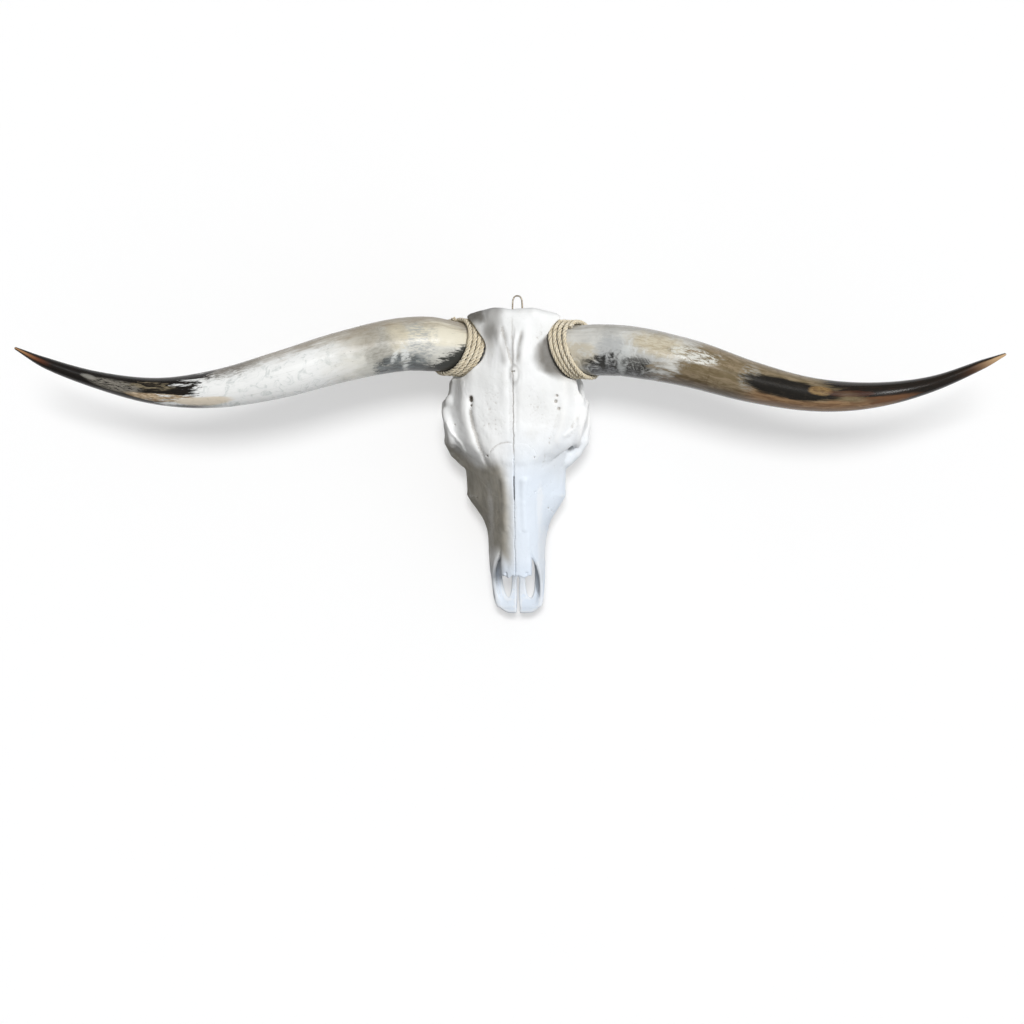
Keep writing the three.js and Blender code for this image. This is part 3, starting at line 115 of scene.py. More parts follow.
class Field:
    def __init__(s, x, v, z): s.x, s.v, s.z = x, v, z
    def local(s, c, deg):
        a, b, d = s.x - f32(c[0]), s.v - f32(c[1]), s.z - f32(c[2])
        if deg is None: return a, b, d
        R = rot(deg).astype(f32)
        return R[0,0]*a + R[1,0]*b + R[2,0]*d, R[0,1]*a + R[1,1]*b + R[2,1]*d, R[0,2]*a + R[1,2]*b + R[2,2]*d
    def near(s, lo, hi, pad):  # which places a piece can reach
        return (s.x > lo[0]-pad) & (s.x < hi[0]+pad) & (s.v > lo[1]-pad) & (s.v < hi[1]+pad) & (s.z > lo[2]-pad) & (s.z < hi[2]+pad)
    def pick(s, m): return Field(s.x[m], s.v[m], s.z[m])
    def ell(s, c, r, deg=None):
        a, b, d = s.local(c, deg); r = np.array(r, f32)
        k0 = np.sqrt((a/r[0])**2 + (b/r[1])**2 + (d/r[2])**2)
        k1 = np.sqrt((a/r[0]**2)**2 + (b/r[1]**2)**2 + (d/r[2]**2)**2)
        return k0*(k0 - 1)/np.maximum(k1, f32(1e-6))
    def box(s, c, h, rad=1.0, deg=None):
        a, b, d = s.local(c, deg)
        qx, qy, qz = np.abs(a) - f32(h[0] - rad), np.abs(b) - f32(h[1] - rad), np.abs(d) - f32(h[2] - rad)
        return np.sqrt(np.maximum(qx,0)**2 + np.maximum(qy,0)**2 + np.maximum(qz,0)**2) + np.minimum(np.maximum(np.maximum(qx,qy),qz),0) - f32(rad)
    def bar(s, pts, k=2.0):
        out = None
        for a, b in zip(pts[:-1], pts[1:]):
            e = (np.array(b[:3], float) - a[:3]).astype(f32); px, pv, pz = s.x - f32(a[0]), s.v - f32(a[1]), s.z - f32(a[2])
            t = np.clip((px*e[0] + pv*e[1] + pz*e[2]) / (e @ e), 0, 1)
            d = np.sqrt((px - t*e[0])**2 + (pv - t*e[1])**2 + (pz - t*e[2])**2) - (f32(a[3]) + f32(b[3] - a[3])*t)
            out = d if out is None else smin(out, d, f32(k))
        return out
    def hoop(s, c, n, R, r):
        n = unit(n).astype(f32); a, b, d = s.local(c, None); h = a*n[0] + b*n[1] + d*n[2]
        return np.sqrt((np.sqrt(np.maximum(a*a + b*b + d*d - h*h, 0)) - f32(R))**2 + h*h) - f32(r)

def section(x, z, pts):
    P = [(-pts[1][0], pts[1][1])] + list(pts) + [(-pts[-2][0], pts[-2][1])]
    fine = []
    for i in range(1, len(P) - 2):
        p0, p1, p2, p3 = P[i-1], P[i], P[i+1], P[i+2]
        for j in range(4):
            t = f32(j / 4)
            fine.append(tuple(f32(0.5)*((2*p1[a]) + (-p0[a] + p2[a])*t + (2*p0[a] - 5*p1[a] + 4*p2[a] - p3[a])*t*t + (-p0[a] + 3*p1[a] - 3*p2[a] + p3[a])*t*t*t) for a in (0, 1)))
    fine.append(pts[-1])
    d2 = None; sgn = None; m = len(fine)
    for i in range(m):
        a, b = fine[i], fine[(i + 1) % m]
        ex, ez = b[0] - a[0], b[1] - a[1]; wx, wz = x - a[0], z - a[1]
        if i < m - 1:
            t = np.clip((wx*ex + wz*ez) / np.maximum(ex*ex + ez*ez, f32(1e-9)), 0, 1)
            dd = (wx - ex*t)**2 + (wz - ez*t)**2
            d2 = dd if d2 is None else np.minimum(d2, dd)
        c1 = z >= a[1]; c2 = z < b[1]; c3 = ex*wz > ez*wx
        flip = (c1 & c2 & c3) | (~c1 & ~c2 & ~c3)
        sgn = flip if sgn is None else sgn ^ flip
    return np.where(sgn, f32(-1), f32(1))*np.sqrt(d2)

ADD = [  # what the head is built of: kind, arguments, blend
 ("ell", ((0,262,88),(38,62,40)), 10), ("ell", ((0,312,88),(52,62,46)), 8), ("box", ((0,346,92),(50,24,40),16), 10), ("ell", ((50,338,74),(20,22,26)), 8), "forehead",
 ("bar", ([[30,334,98,32],[46,333,99,31]],), 9), ("bar", ([[0,368,137,10],[24,370,137,10],[49,367,117,9]],), 7), ("ell", ((0,371,112),(7,6,14)), 6),
 ("hoop", (EYE,EYE_OUT,EYE_R,4.6), 8), ("bar", ([[85,262,62,6],[86,240,53,7],[82,220,52,9],[73,206,54,9],[62,196,55,10]],), 6),
 ("bar", ([[80,268,101,7],[84,266,84,5.5],[84,264,62,6.5]],), 5), ("bar", ([[83,258,57,6.5],[81,275,60,5.5],[78,290,63,6.5],[68,305,64,8],[56,318,62,9]],), 5),
 ("ell", ((58,303,55),(20,10,8)), 5), ("bar", ([[50,322,52,8],[60,325,54,6.5]],), 4), ("box", ((0,318,44),(14,48,11),7), 6), ("ell", ((31,316,36),(10.5,15,17)), 4),
 ("bar", ([[46,348,60,12],[45,343,34,8],[41,338,5.5,6.5]],), 6), ("ell", ((19,360,52),(11.5,12,18),(0,14,0)), 4), ("box", ((18,252,44),(2.8,32,24),2.6,(0,-6,-4)), 4),
 ("bar", ([[19,240,24,3.6],[18,262,17,3.4]],), 3), ("ell", ((44,226,40),(12,12,20)), 6)]
CUT = [
 ("ell", ((70,241,77.5),(36,25.2,24.4),(0,1.5,16)), 3), ("ell", ((50,258,74),(18,20,19),(0,0,20)), 6), ("ell", ((70,288,79),(15,25,22),(0,18,8)), 5), ("ell", ((66,268,74),(14,22,18)), 5),
 ("ell", ((40,246,40),(17,26,18),(0,0,8)), 6), ("ell", ((34,288,46),(13,20,14)), 5), ("bar", ([[0,400,66,14],[0,344,66,12]],), 3),
 ("bar", ([[0,218,40,12],[0,262,44,13],[0,285,46,10]],), 4), ("bar", ([[72,327,55,3.6],[54,322,54,3.4]],), 1.5)]
neck_axis, neck_face = unit(NECK_AXIS), unit(NECK_FACE)

def profile_face(f):
    c = {k: C[k](f.v) for k in ("roof_z","roof_half","roof_drop","mid_half","mid_z","crest_half","crest_z","gum_half","gum_z","gum_in","palate_z")}
    o = np.zeros_like(f.v)
    return c, section(f.x, f.z, [(o, c["roof_z"]), (c["roof_half"]*f32(.6), c["roof_z"] - c["roof_drop"]*f32(.3)), (c["roof_half"], c["roof_z"] - c["roof_drop"]), (c["mid_half"], c["mid_z"]),
        (c["crest_half"], c["crest_z"]), (c["gum_half"], c["gum_z"]), ((c["gum_half"] + c["gum_in"])/2, c["gum_z"] - f32(1.5)), (c["gum_in"], c["gum_z"]), (c["gum_in"]*f32(.8), c["palate_z"] - f32(.8)), (o, c["palate_z"] + 1)])
def forehead(f):
    top, half, ez = C["roof_z"](f.v), C["front_half"](f.v), C["front_edge"](f.v); o = np.zeros_like(f.v)
    dip = f32(TEMPLE_DIP)*np.exp(-((f.v - 332)/f32(26))**2)
    d = section(f.x, f.z, [(o, top), (half*f32(.3), top - f32(.8)), (half*f32(.56), top - f32(5.5) - dip), (half*f32(.72), top - f32(10.5) - f32(1.2)*dip), (half*f32(.9), ez + 8), (half, ez), (half*f32(.93), ez - 5),
        (half*f32(.72), top - 27), (half*f32(.4), top - 30), (o, top - 32)])
    d = smax(d, (f.v - C["poll"](f.x))*f32(.95), f32(7))
    return smax(d, 188 - f.v, f32(8))
def nose(f, d, c):
    o = np.zeros_like(f.v)
    inner = [(o, c["roof_z"] - f32(3.8)), (c["roof_half"]*f32(.6), c["roof_z"] - c["roof_drop"]*f32(.3) - f32(3.9)), (c["roof_half"] - f32(2.5), c["roof_z"] - c["roof_drop"] - f32(4.4)),
             (np.minimum(c["mid_half"] - f32(4.4), 30), c["mid_z"]), (np.minimum(c["crest_half"] - f32(4.4), 31), c["crest_z"] + 6), (np.minimum(c["crest_half"] - 6, 29), 38 + o), (20 + o, f32(36.2) + o), (o, f32(36.5) + o)]
    cav = smax(section(f.x, f.z, inner), f.v - 186, f32(14)); cav = smax(cav, -20 - f.v, f32(1))
    d = smax(d, -cav, f32(1.5))
    over = C["nose_edge"](f.v) - f.z
    d = smax(d, -np.maximum(np.maximum(over, f32(18.6) - f.x), f.v - 87), f32(2))
    d = smax(d, -np.maximum(over, f.v - f32(47.5) - f32(1.5)*np.sin(np.clip(f.x, 0, 18)*f32(.5))), f32(1.5))
    d = smax(d, -f.bar([[13,38,86,2.0],[13,52,86,1.4]]), f32(.8))
    d = smax(d, -f.bar([[0,38,88,1.6],[0,54,90,0.5]]), f32(.6))
    tt, tu, th = C["tip_top"](f.v), C["tip_under"](f.v), C["tip_half"](f.v)
    q = np.maximum(np.abs(f.z - (tt + tu)/2) - (tt - tu)/2 + f32(2.5), 0); r = np.maximum(f.x - th + f32(2.5), 0); e = np.maximum(f32(2.5) - f.v, 0)
    d = smin(d, np.maximum(np.sqrt(q*q + r*r + e*e) - f32(2.5), f.v - 66), f32(2.5))
    d = smax(d, -f.ell((14.3,46,32),(5.6,26,30),(0,0,-1.5)), f32(1.5))
    d = smax(d, -np.maximum(f.x - C["tip_gap"](f.v), f.v - 46), f32(1.2))
    d = smin(d, f.box((0,126,52),(1.8,58,17),1.4,(9,0,0)), f32(1.5))
    d = smin(d, f.bar([[27,92,62,3],[20,104,64,6.5],[17.5,130,66,8],[19,168,70,9],[24,192,74,9]]), f32(2))
    return smin(d, f.bar([[11,108,97,4],[10,140,103,5],[11,168,109,6]]), f32(2))
def teeth(f, d):
    for at, long, half, low, lobes in TEETH:
        cx = f32(curve(TOOTH_ROW_X, at)); part = long/lobes/2; tooth = None
        for k in range(lobes):
            cv = at + (k - (lobes - 1)/2)*long/lobes
            w = (np.sqrt(np.sqrt(((f.x - cx)/f32(half))**4 + ((f.v - f32(cv))/f32(part*1.04))**4 + f32(1e-9))) - 1)*f32(min(half, part))
            tooth = w if tooth is None else smin(tooth, w, f32(1.2))
        tooth = smax(smax(tooth, low - f.z, f32(.8)), f.z - 34, f32(1))
        d = smin(d, tooth, f32(.6))
    return d
def skull(x, v, z):
    f = Field(x.astype(f32), v.astype(f32), z.astype(f32))
    d = np.full(f.x.shape, 1e3, f32)
    m = f.v < 262
    g = f.pick(m); c, face = profile_face(g)
    d[m] = smax(smax(face, g.v - 236, f32(10)), 8 - g.v, f32(3))
    for item in ADD:
        if item == "forehead":
            m = f.v > 170
            d[m] = smin(d[m], forehead(f.pick(m)), f32(5)); continue
        kind, args, k = item
        if kind == "bar": P = np.array(args[0]); lo, hi = (P[:,:3] - P[:,3:]).min(0), (P[:,:3] + P[:,3:]).max(0)
        elif kind == "hoop": P = np.array(args[0]); lo, hi = P - args[2] - args[3], P + args[2] + args[3]
        else: P, h = np.array(args[0]), np.full(3, np.linalg.norm(args[1])) if len(args) > 2 and args[-1] is not None and not np.isscalar(args[-1]) else np.array(args[1]); lo, hi = P - h, P + h
        m = f.near(lo, hi, 12 + k)
        if m.any(): d[m] = smin(d[m], getattr(f.pick(m), kind)(*args), f32(k))
    for kind, args, k in CUT:
        if kind == "bar": P = np.array(args[0]); lo, hi = (P[:,:3] - P[:,3:]).min(0), (P[:,:3] + P[:,3:]).max(0)
        else: P, h = np.array(args[0]), np.full(3, np.linalg.norm(args[1])); lo, hi = P - h, P + h
        m = f.near(lo, hi, 4 + k)
        if m.any(): d[m] = smax(d[m], -getattr(f.pick(m), kind)(*args), f32(k))
    # stub of the horn core
    a, b, cc = f.x - f32(NECK[0]), f.v - f32(NECK[1]), f.z - f32(NECK[2])
    s = a*f32(neck_face[0]) + b*f32(neck_face[1]) + cc*f32(neck_face[2]); h = a*f32(neck_axis[0]) + b*f32(neck_axis[1]) + cc*f32(neck_axis[2])
    r = np.sqrt(np.maximum(a*a + b*b + cc*cc - h*h, 0))
    d = smin(d, np.maximum(np.maximum(r - f32(35.2) + f32(.12)*s, s - 11), -h - 26), f32(9))
    d = np.minimum(d, np.maximum(np.maximum(r - f32(NECK_R), s - f32(11)), -h - 34))
    m = f.v < 240
    g = f.pick(m); c = {k: q for k, q in zip(c.keys(), (C[k](g.v) for k in c))}
    d[m] = teeth(g, nose(g, d[m], c))
    return smax(d, REST - f.z, f32(.3))

# ------------------------------------------------------------------ smooth noise on places
def noise(x, y, z, seed=0):
    def h(i, j, k):
        n = (i*374761393 + j*668265263 + k*2147483647 + seed*1274126177).astype(np.int64) & 0xffffffff
        n = ((n ^ (n >> 13))*1274126177) & 0xffffffff
        return ((n ^ (n >> 16)) & 0xffff).astype(f32)/f32(32767.5) - 1
    i, j, k = np.floor(x).astype(np.int64), np.floor(y).astype(np.int64), np.floor(z).astype(np.int64)
    u, v, w = (x - i).astype(f32), (y - j).astype(f32), (z - k).astype(f32)
    u, v, w = u*u*(3 - 2*u), v*v*(3 - 2*v), w*w*(3 - 2*w)
    out = 0
    for a in (0, 1):
        for b in (0, 1):
            for c in (0, 1):
                out = out + h(i+a, j+b, k+c)*(u if a else 1-u)*(v if b else 1-v)*(w if c else 1-w)
    return out

# ------------------------------------------------------------------ sparse sampling of the field, both sides of the head
def sample():
    B = 5
    nx, nv, nz = int(math.ceil(104/STEP/B))*B, int(math.ceil(396/STEP/B))*B, int(math.ceil(162/STEP/B))*B
    v0, z0 = -6.0, -3.7
    bx, bv, bz = np.meshgrid(np.arange(nx//B), np.arange(nv//B), np.arange(nz//B), indexing="ij")
    cx, cv, cz = ((bx + .5)*B - .5)*STEP, v0 + ((bv + .5)*B - .5)*STEP, z0 + ((bz + .5)*B - .5)*STEP
    coarse = skull(cx.ravel(), cv.ravel(), cz.ravel())
    act = np.abs(coarse) < (B*STEP*0.87 + 5)
    D = np.repeat(np.repeat(np.repeat(np.sign(coarse).reshape(bx.shape), B, 0), B, 1), B, 2).astype(f32)*4*STEP
    q = np.arange(B)
    idx = np.argwhere(act.reshape(bx.shape))
    I = (idx[:,None,0]*B + np.repeat(np.repeat(q, B), B)[None]).ravel(); J = (idx[:,None,1]*B + np.tile(np.repeat(q, B), B)[None]).ravel(); K = (idx[:,None,2]*B + np.tile(q, B*B)[None]).ravel()
    for s in range(0, len(I), 400000):
        i, j, k = I[s:s+400000], J[s:s+400000], K[s:s+400000]
        D[i, j, k] = skull(i*STEP, v0 + j*STEP, z0 + k*STEP)
    full = np.concatenate([D[:0:-1], D], 0)
    return full, np.array([-(nx - 1)*STEP, v0, z0])

# ------------------------------------------------------------------ relief of the bone's surface, added to the field near it
def line_dist(x, v, pts):
    out = None
    for (ax, av), (bx, bv) in zip(pts[:-1], pts[1:]):
        ex, ev = bx - ax, bv - av
        t = np.clip(((x - ax)*ex + (v - av)*ev)/(ex*ex + ev*ev), 0, 1)
        d = (x - ax - t*ex)**2 + (v - av - t*ev)**2
        out = d if out is None else np.minimum(out, d)
    return np.sqrt(out)
def step01(t, a, b):
    t = np.clip((t - a)/(b - a), 0, 1); return t*t*(3 - 2*t)
def hill(t, w): return np.exp(-(t/w)**2)
NASAL_END = [[0,213],[8,214.5],[16,213],[22,209],[26.5,203],[30,196]]
GROOVE_L = [(-53,270),(-53,250),(-49.5,232),(-43,215),(-35.5,199),(-31,184)]
GROOVE_R = [(54,274),(56,256),(51,234),(45,217),(38,203),(35,188)]
HOLES = [ # x, v, radius, depth below the top
 (-52.5,270.5,2.3,7),(-52.3,267.5,2.2,6),(-52,261,1.3,3.5),(54,273,1.5,2.2),(52.5,266,1.8,2.4),(56,257,1.8,2.0),(-0.9,302,1.0,3),(2.3,302.3,0.9,2.5),(-74,238,0.9,2),(25.5,197,0.8,2),(25.5,154,0.9,2),(40,134,0.8,2),(46,129,0.8,2),(-31,199,1.2,3),(44,131,0.7,2),(-48,147,0.8,2)]
def suture_x(v): return (0.55*noise(v/7.0, v*0, v*0 + 3.3) + 0.35*noise(v/2.3, v*0, v*0 + 9.1))*(0.35 + 0.65*step01(v, 196, 230))
def relief(x, v, z, top):
    up = step01(z, top - 30, top - 16)   # only what faces out of the forehead and the nose's back
    ax = np.abs(x); g = 0
    g = g + 0.7*hill(x - suture_x(v), 0.8)*step01(v, 196, 206)*step01(-v, -298, -288)*up            # middle seam of the forehead
    ra, rb = x - (-2.6 - (v - 316)*0.25), x - (6.6 + (v - 316)*0.13)                               # two grooves that run together above the boss
    span = step01(v, 306, 322)*step01(-v, -364, -344)
    wig = 0.9*noise(v/7.5, v*0, v*0, 41)
    g = g + (1.5*hill(ra, 2.9) + 1.2*hill(rb, 2.6))*span*up + 1.3*hill(np.sqrt(((x + 12.2)/2.4)**2 + ((v - 352)/6)**2), 1.0)*up
    g = g - 1.7*hill(x - 2.4 - wig, 1.9)*step01(v, 304, 316)*step01(-v, -356, -338)*up               # ridge between them
    g = g - 1.1*hill(ra + 6.5, 3.8)*span*up - 0.9*hill(rb - 7, 4.2)*span*up
    g = g - 2.2*hill(np.sqrt(((x - 2.2)/4.6)**2 + ((v - 299)/10.5)**2), 1.0)*up                       # small boss
    g = g + 0.9*hill(np.sqrt(((x + 4.6)/2.4)**2 + ((v - 299)/11)**2), 1.0)*up + 0.8*hill(np.sqrt(((x - 8.8)/2.4)**2 + ((v - 297)/11)**2), 1.0)*up
    g = g - 1.2*hill(ax - 10 - (v - 300)*0.02, 6)*step01(v, 250, 290)*step01(-v, -345, -318)*up         # low swellings beside the seam
    g = g + 0.8*hill(ax - 3.5, 2.6)*step01(v, 214, 236)*step01(-v, -292, -276)*up
    g = g + 2.0*hill(np.sqrt(((ax - 34)/13)**2 + ((v - 330)/34)**2), 1.0)*up                          # hollow inside each horn
    g = g + 1.4*hill(np.sqrt(((ax - 27)/14)**2 + ((v - 256)/26)**2), 1.0)*up
    for P, deep, wide in ((GROOVE_L, 2.7, 3.3), (GROOVE_R, 1.5, 4.8)):
        dl = line_dist(x, v, P)
        g = g + deep*hill(dl, wide)*step01(v, 172, 205)*step01(-v, -276, -266)*up + (0.7 if P is GROOVE_L else 0.0)*hill(dl, 1.3)*step01(v, 190, 215)*step01(-v, -262, -250)*up
    g = g - 1.9*hill(line_dist(x, v, [(-64,290),(-63,256),(-59,236),(-52,216)]), 6.5)*up - 1.5*hill(line_dist(x, v, [(66,290),(65,256),(60,236),(54,218)]), 6.5)*up
    g = g + 0.3*hill(line_dist(x, v, [(-74,262),(-73,240),(-66,222)]), 5)*up + 0.2*hill(line_dist(x, v, [(75,262),(73,240),(67,222)]), 5)*up
    g = g + 0.6*hill(v - curve(NASAL_END, ax) - 0.8 - 0.7*noise(x/2.2, x*0, x*0, 5), 0.9)*(x < -2)*(ax < 27)*up                # the arch of the nose bone's end, on the left
    rag = noise(x/3.0, v/3.4, z/3.0, 31)
    g = g - 1.3*hill(line_dist(x, v, [(64,224),(72,230),(80,240),(85,252)]) + rag*1.2, 2.2)*step01(z, 84, 92)       # rough rim of the eye socket
    g = g - 1.5*hill(line_dist(x, v, [(-84,240),(-79,228),(-71,220),(-64,212),(-60,204)]) + rag*0.7, 1.9)*step01(z, 80, 88)
    g = g + 0.45*noise(x/17, v/21, z/17, 1) + 0.22*noise(x/6, v/8, z/6, 2) + 0.10*noise(x/2.6, v/3.4, z/2.6, 3)
    pit = noise(x/1.7, v/1.9, z/1.7, 33)
    g = g + 0.35*step01(pit, 0.45, 0.75)*step01(noise(x/22, v/26, z/22, 34), -0.05, 0.35)
    return g

# ------------------------------------------------------------------ bones: the same parting as the solids, with toothed seams
G, SEAM, MID = GAP/2, -1.1, -0.12  # most seams are grown together: the bones lap over each other without a gap, and only the middle one shows
def side_poly(v, z, loop):
    d2 = None; sgn = None
    for (av, az), (bv, bz) in zip(loop, loop[1:] + loop[:1]):
        ev, ez = bv - av, bz - az; wv, wz = v - av, z - az
        t = np.clip((wv*ev + wz*ez)/(ev*ev + ez*ez), 0, 1); dd = (wv - ev*t)**2 + (wz - ez*t)**2
        d2 = dd if d2 is None else np.minimum(d2, dd)
        c1 = z >= az; c2 = z < bz; c3 = ev*wz > ez*wv
        flip = (c1 & c2 & c3) | (~c1 & ~c2 & ~c3)
        sgn = flip if sgn is None else sgn ^ flip
    return np.where(sgn, -1.0, 1.0)*np.sqrt(d2)
def in_nasal(x, v, z):
    ax = np.abs(x)
    half = curve(ROOF_HALF, np.minimum(v, 203)) + 0.8 + 0.5*noise(v/3.1, v*0, v*0, 7)
    end = curve(NASAL_END, ax) + 1.1*noise(x/1.9, x*0, x*0, 5) + 0.5*noise(x/0.9, x*0, x*0, 6)
    return np.maximum(np.maximum(ax - half, (v - end)*0.9), np.maximum(56 + 0.21*v - z, 20 - v))
def in_vomer(x, v, z): return np.maximum(side_poly(v, z, [(60,37.2),(183,37.2),(183,104),(60,88)]), np.abs(x) - 4)
def in_incisive(x, v, z): return side_poly(v + 0.6*noise(z/3, z*0, z*0, 8), z, [(-20,0),(28,0),(104,101.3),(60,140),(-20,140)])
def in_zygomatic(x, v, z): return np.maximum(side_poly(v + 0.7*noise(z/2.6, x/5, z*0, 9), z, [(199,64),(190,50),(196,36),(250,30),(286,40),(278,90),(216,84)]), 60 - np.abs(x))
def in_maxilla(x, v, z): return side_poly(v + 0.6*noise(z/3, x/5, z*0, 10), z, [(10,-20),(224,-20),(224,28),(216,48),(192,63),(150,97),(128,140),(10,140)])

def in_occipital(x, v, z):
    w = 0.8*noise(x/5, z/5, z*0, 12)
    return np.minimum(np.maximum(side_poly(v + w, z, [(300,-20),(420,-20),(420,60),(327,60),(300,50)]), np.abs(x) - 64), np.maximum(side_poly(v + w, z, [(327,56),(420,56),(420,118),(352,118),(344,84)]), np.abs(x) - 42))

full, origin = sample()
NX, NV, NZ = full.shape
xs, vs, zs = (origin[0] + np.arange(NX)*STEP), (origin[1] + np.arange(NV)*STEP), (origin[2] + np.arange(NZ)*STEP)
roof_here = curve(ROOF_Z, vs)
near = np.argwhere(np.abs(full) < 2.6*STEP)
ni, nj, nk = near.T
nx_, nv_, nz_ = xs[ni], vs[nj], zs[nk]
top_here = roof_here[nj] - 0.10*np.abs(nx_) - 0.0016*nx_**2
full[ni, nj, nk] += relief(nx_, nv_, nz_, top_here).astype(f32)
for hx, hv, hr, hd in HOLES:
    zt = float(curve(ROOF_Z, hv)) - 0.0021*hx*hx - 0.04*abs(hx)
    i0, i1 = np.searchsorted(xs, [hx - 12, hx + 12]); j0, j1 = np.searchsorted(vs, [hv - 12, hv + 12])
    X, V, Z = np.meshgrid(xs[i0:i1], vs[j0:j1], zs, indexing="ij")
    blk = full[i0:i1, j0:j1]
    # a slanting hole from wherever the surface lies
    col = np.where(blk < 0, Z, -1e3).max(2, keepdims=True)
    hole = np.sqrt((X - hx - 0.25*(col - Z)*np.sign(-hx))**2 + (V - hv)**2) - hr
    full[i0:i1, j0:j1] = smax(blk, -np.maximum(hole, (col - hd) - Z), 0.9)

# the seat of each horn and its rope: bone is taken away round the axis past the root
for side, start in ((-1, START_LEFT), (1, START_RIGHT)):
    i0, i1 = sorted(np.searchsorted(xs, [side*16, side*104])); j0, j1 = np.searchsorted(vs, [284, 384]); k0, k1 = np.searchsorted(zs, [50, 152])
    X, V, Z = [q.astype(f32) for q in np.meshgrid(xs[i0:i1], vs[j0:j1], zs[k0:k1], indexing="ij")]
    X = X - ROLL*(Z - 60) - (side*NECK[0] - ROLL*(NECK[2] - 60)); V = V - NECK[1]; Z = Z - NECK[2]
    s_, h_ = X*side*neck_face[0] + V*neck_face[1] + Z*neck_face[2], X*side*neck_axis[0] + V*neck_axis[1] + Z*neck_axis[2]
    r_ = np.sqrt(np.maximum(X*X + V*V + Z*Z - h_*h_, 0)); lim = (start - 0.4)*float(neck_axis @ neck_face)
    blk = full[i0:i1, j0:j1, k0:k1]
    full[i0:i1, j0:j1, k0:k1] = smax(blk, -np.maximum(lim - s_, r_ - SEAT_R - SEAT_FRONT*np.clip((Z - 8)/16, 0, 1)), f32(2.2)).astype(f32)

def shape_of(D, lo):
    """Points and quads of the surface of a piece of the field, in the skull's own frame, largest connected part only."""
    pad = 3
    A = np.full(tuple(n + 2*pad for n in D.shape), 4*STEP, f32)
    A[pad:-pad, pad:-pad, pad:-pad] = np.clip(D, -4*STEP, 4*STEP)
    g = openvdb.FloatGrid(background=4*STEP); g.copyFromArray(A)
    P, Q = g.convertToQuads(isovalue=0.0)
    P = P*STEP + (np.array(lo) - pad*STEP)
    # largest part
    root = np.arange(len(P))
    E = np.concatenate([Q[:, [0,1]], Q[:, [1,2]], Q[:, [2,3]]])
    while True:
        m = np.minimum(root[E[:,0]], root[E[:,1]]); new = root.copy()
        np.minimum.at(new, E[:,0], m); np.minimum.at(new, E[:,1], m); new = new[new]
        if (new == root).all(): break
        root = new
    lab, cnt = np.unique(root[Q[:,0]], return_counts=True); keep = lab[cnt.argmax()]
    Q = Q[root[Q[:,0]] == keep]
    used = np.unique(Q); remap = np.zeros(len(P), int); remap[used] = np.arange(len(used))
    return P[used], remap[Q]
def warp(P):
    x, v, z = P.T
    t = np.clip((-x - 10)/20, 0, 1)
    return np.stack([x - ROLL*(z - 60) - curve(WIDER_LEFT, v)*t*t*(3 - 2*t) + np.where(v < 200, BEND*(np.clip(200 - v, 0, 200)/200)**1.5*(1 - 0.85*np.exp(-(x/12)**2)), 0), v, z], 1)
def to_part(P): return (P + CENTRE)*SIZE*MM
def build(name, P, Q, smooth=True):
    me = bpy.data.meshes.new(name); Q = np.asarray(Q)
    me.vertices.add(len(P)); me.vertices.foreach_set("co", np.ascontiguousarray(P, f32).ravel())
    me.loops.add(Q.size); me.loops.foreach_set("vertex_index", np.ascontiguousarray(Q, np.int32).ravel())
    me.polygons.add(len(Q)); me.polygons.foreach_set("loop_start", np.arange(0, Q.size, Q.shape[1], dtype=np.int32))
    me.polygons.foreach_set("loop_total", np.full(len(Q), Q.shape[1], np.int32))
    me.update(calc_edges=True); me.validate()
    me.polygons.foreach_set("use_smooth", np.full(len(Q), smooth))
    ob = bpy.data.objects.new(name, me); bpy.context.scene.collection.objects.link(ob)
    return ob
def attribute(ob, name, values, kind="FLOAT"):
    a = ob.data.attributes.new(name, kind, "POINT")
    a.data.foreach_set("vector" if kind == "FLOAT_VECTOR" else "value", np.ascontiguousarray(values, f32).ravel())

def blurred(A, r):
    B = np.clip(A, -3*STEP, 3*STEP)
    for ax in range(3):
        c = np.cumsum(np.pad(B, [(r + 1, r) if k == ax else (0, 0) for k in range(3)], mode="edge"), axis=ax, dtype=np.float64)
        hi_, lo_ = [slice(None)]*3, [slice(None)]*3; hi_[ax] = slice(2*r + 1, None); lo_[ax] = slice(0, -(2*r + 1))
        B = ((c[tuple(hi_)] - c[tuple(lo_)])/(2*r + 1)).astype(f32)
    return B
soft = blurred(full, max(1, round(3.3/STEP)))
def fold(P):
    """Below 0 in creases and hollows, above 0 on ridges."""
    i = [np.clip(np.round((P[:, k] - origin[k])/STEP).astype(int), 0, full.shape[k] - 1) for k in range(3)]
    return (soft[i[0], i[1], i[2]] - np.clip(full[i[0], i[1], i[2]], -3*STEP, 3*STEP))/STEP
bones = {}
def take(name, region, lo, hi, side=0, regions_out=()):
    """One bone: the field within its region and clear of the ones already taken."""
    i0, j0, k0 = [max(0, int(np.searchsorted(a, b)) - 2) for a, b in zip((xs, vs, zs), lo)]
    i1, j1, k1 = [int(np.searchsorted(a, b)) + 2 for a, b in zip((xs, vs, zs), hi)]
    D = full[i0:i1, j0:j1, k0:k1].copy()
    m = np.argwhere(D < 2.5*STEP); i, j, k = m.T
    x, v, z = xs[i0 + i], vs[j0 + j], zs[k0 + k]; d = D[i, j, k]
    for r in regions_out: d = np.maximum(d, -(r(x, v, z) - SEAM))
    if region is not None: d = np.maximum(d, region(x, v, z) + SEAM)
    if side: d = np.maximum(d, np.where(v > 300, -1.3, np.where(v > 196, MID, np.where((v > 144) & (v < 174) & (z > 95), 0.55, 0.02))) - side*(x - suture_x(v)))
    D[i, j, k] = d + 0.012*len(bones)    # where neighbours lap over each other, one lies a hair above the next
    bones[name] = shape_of(D, (xs[i0], vs[j0], zs[k0]))
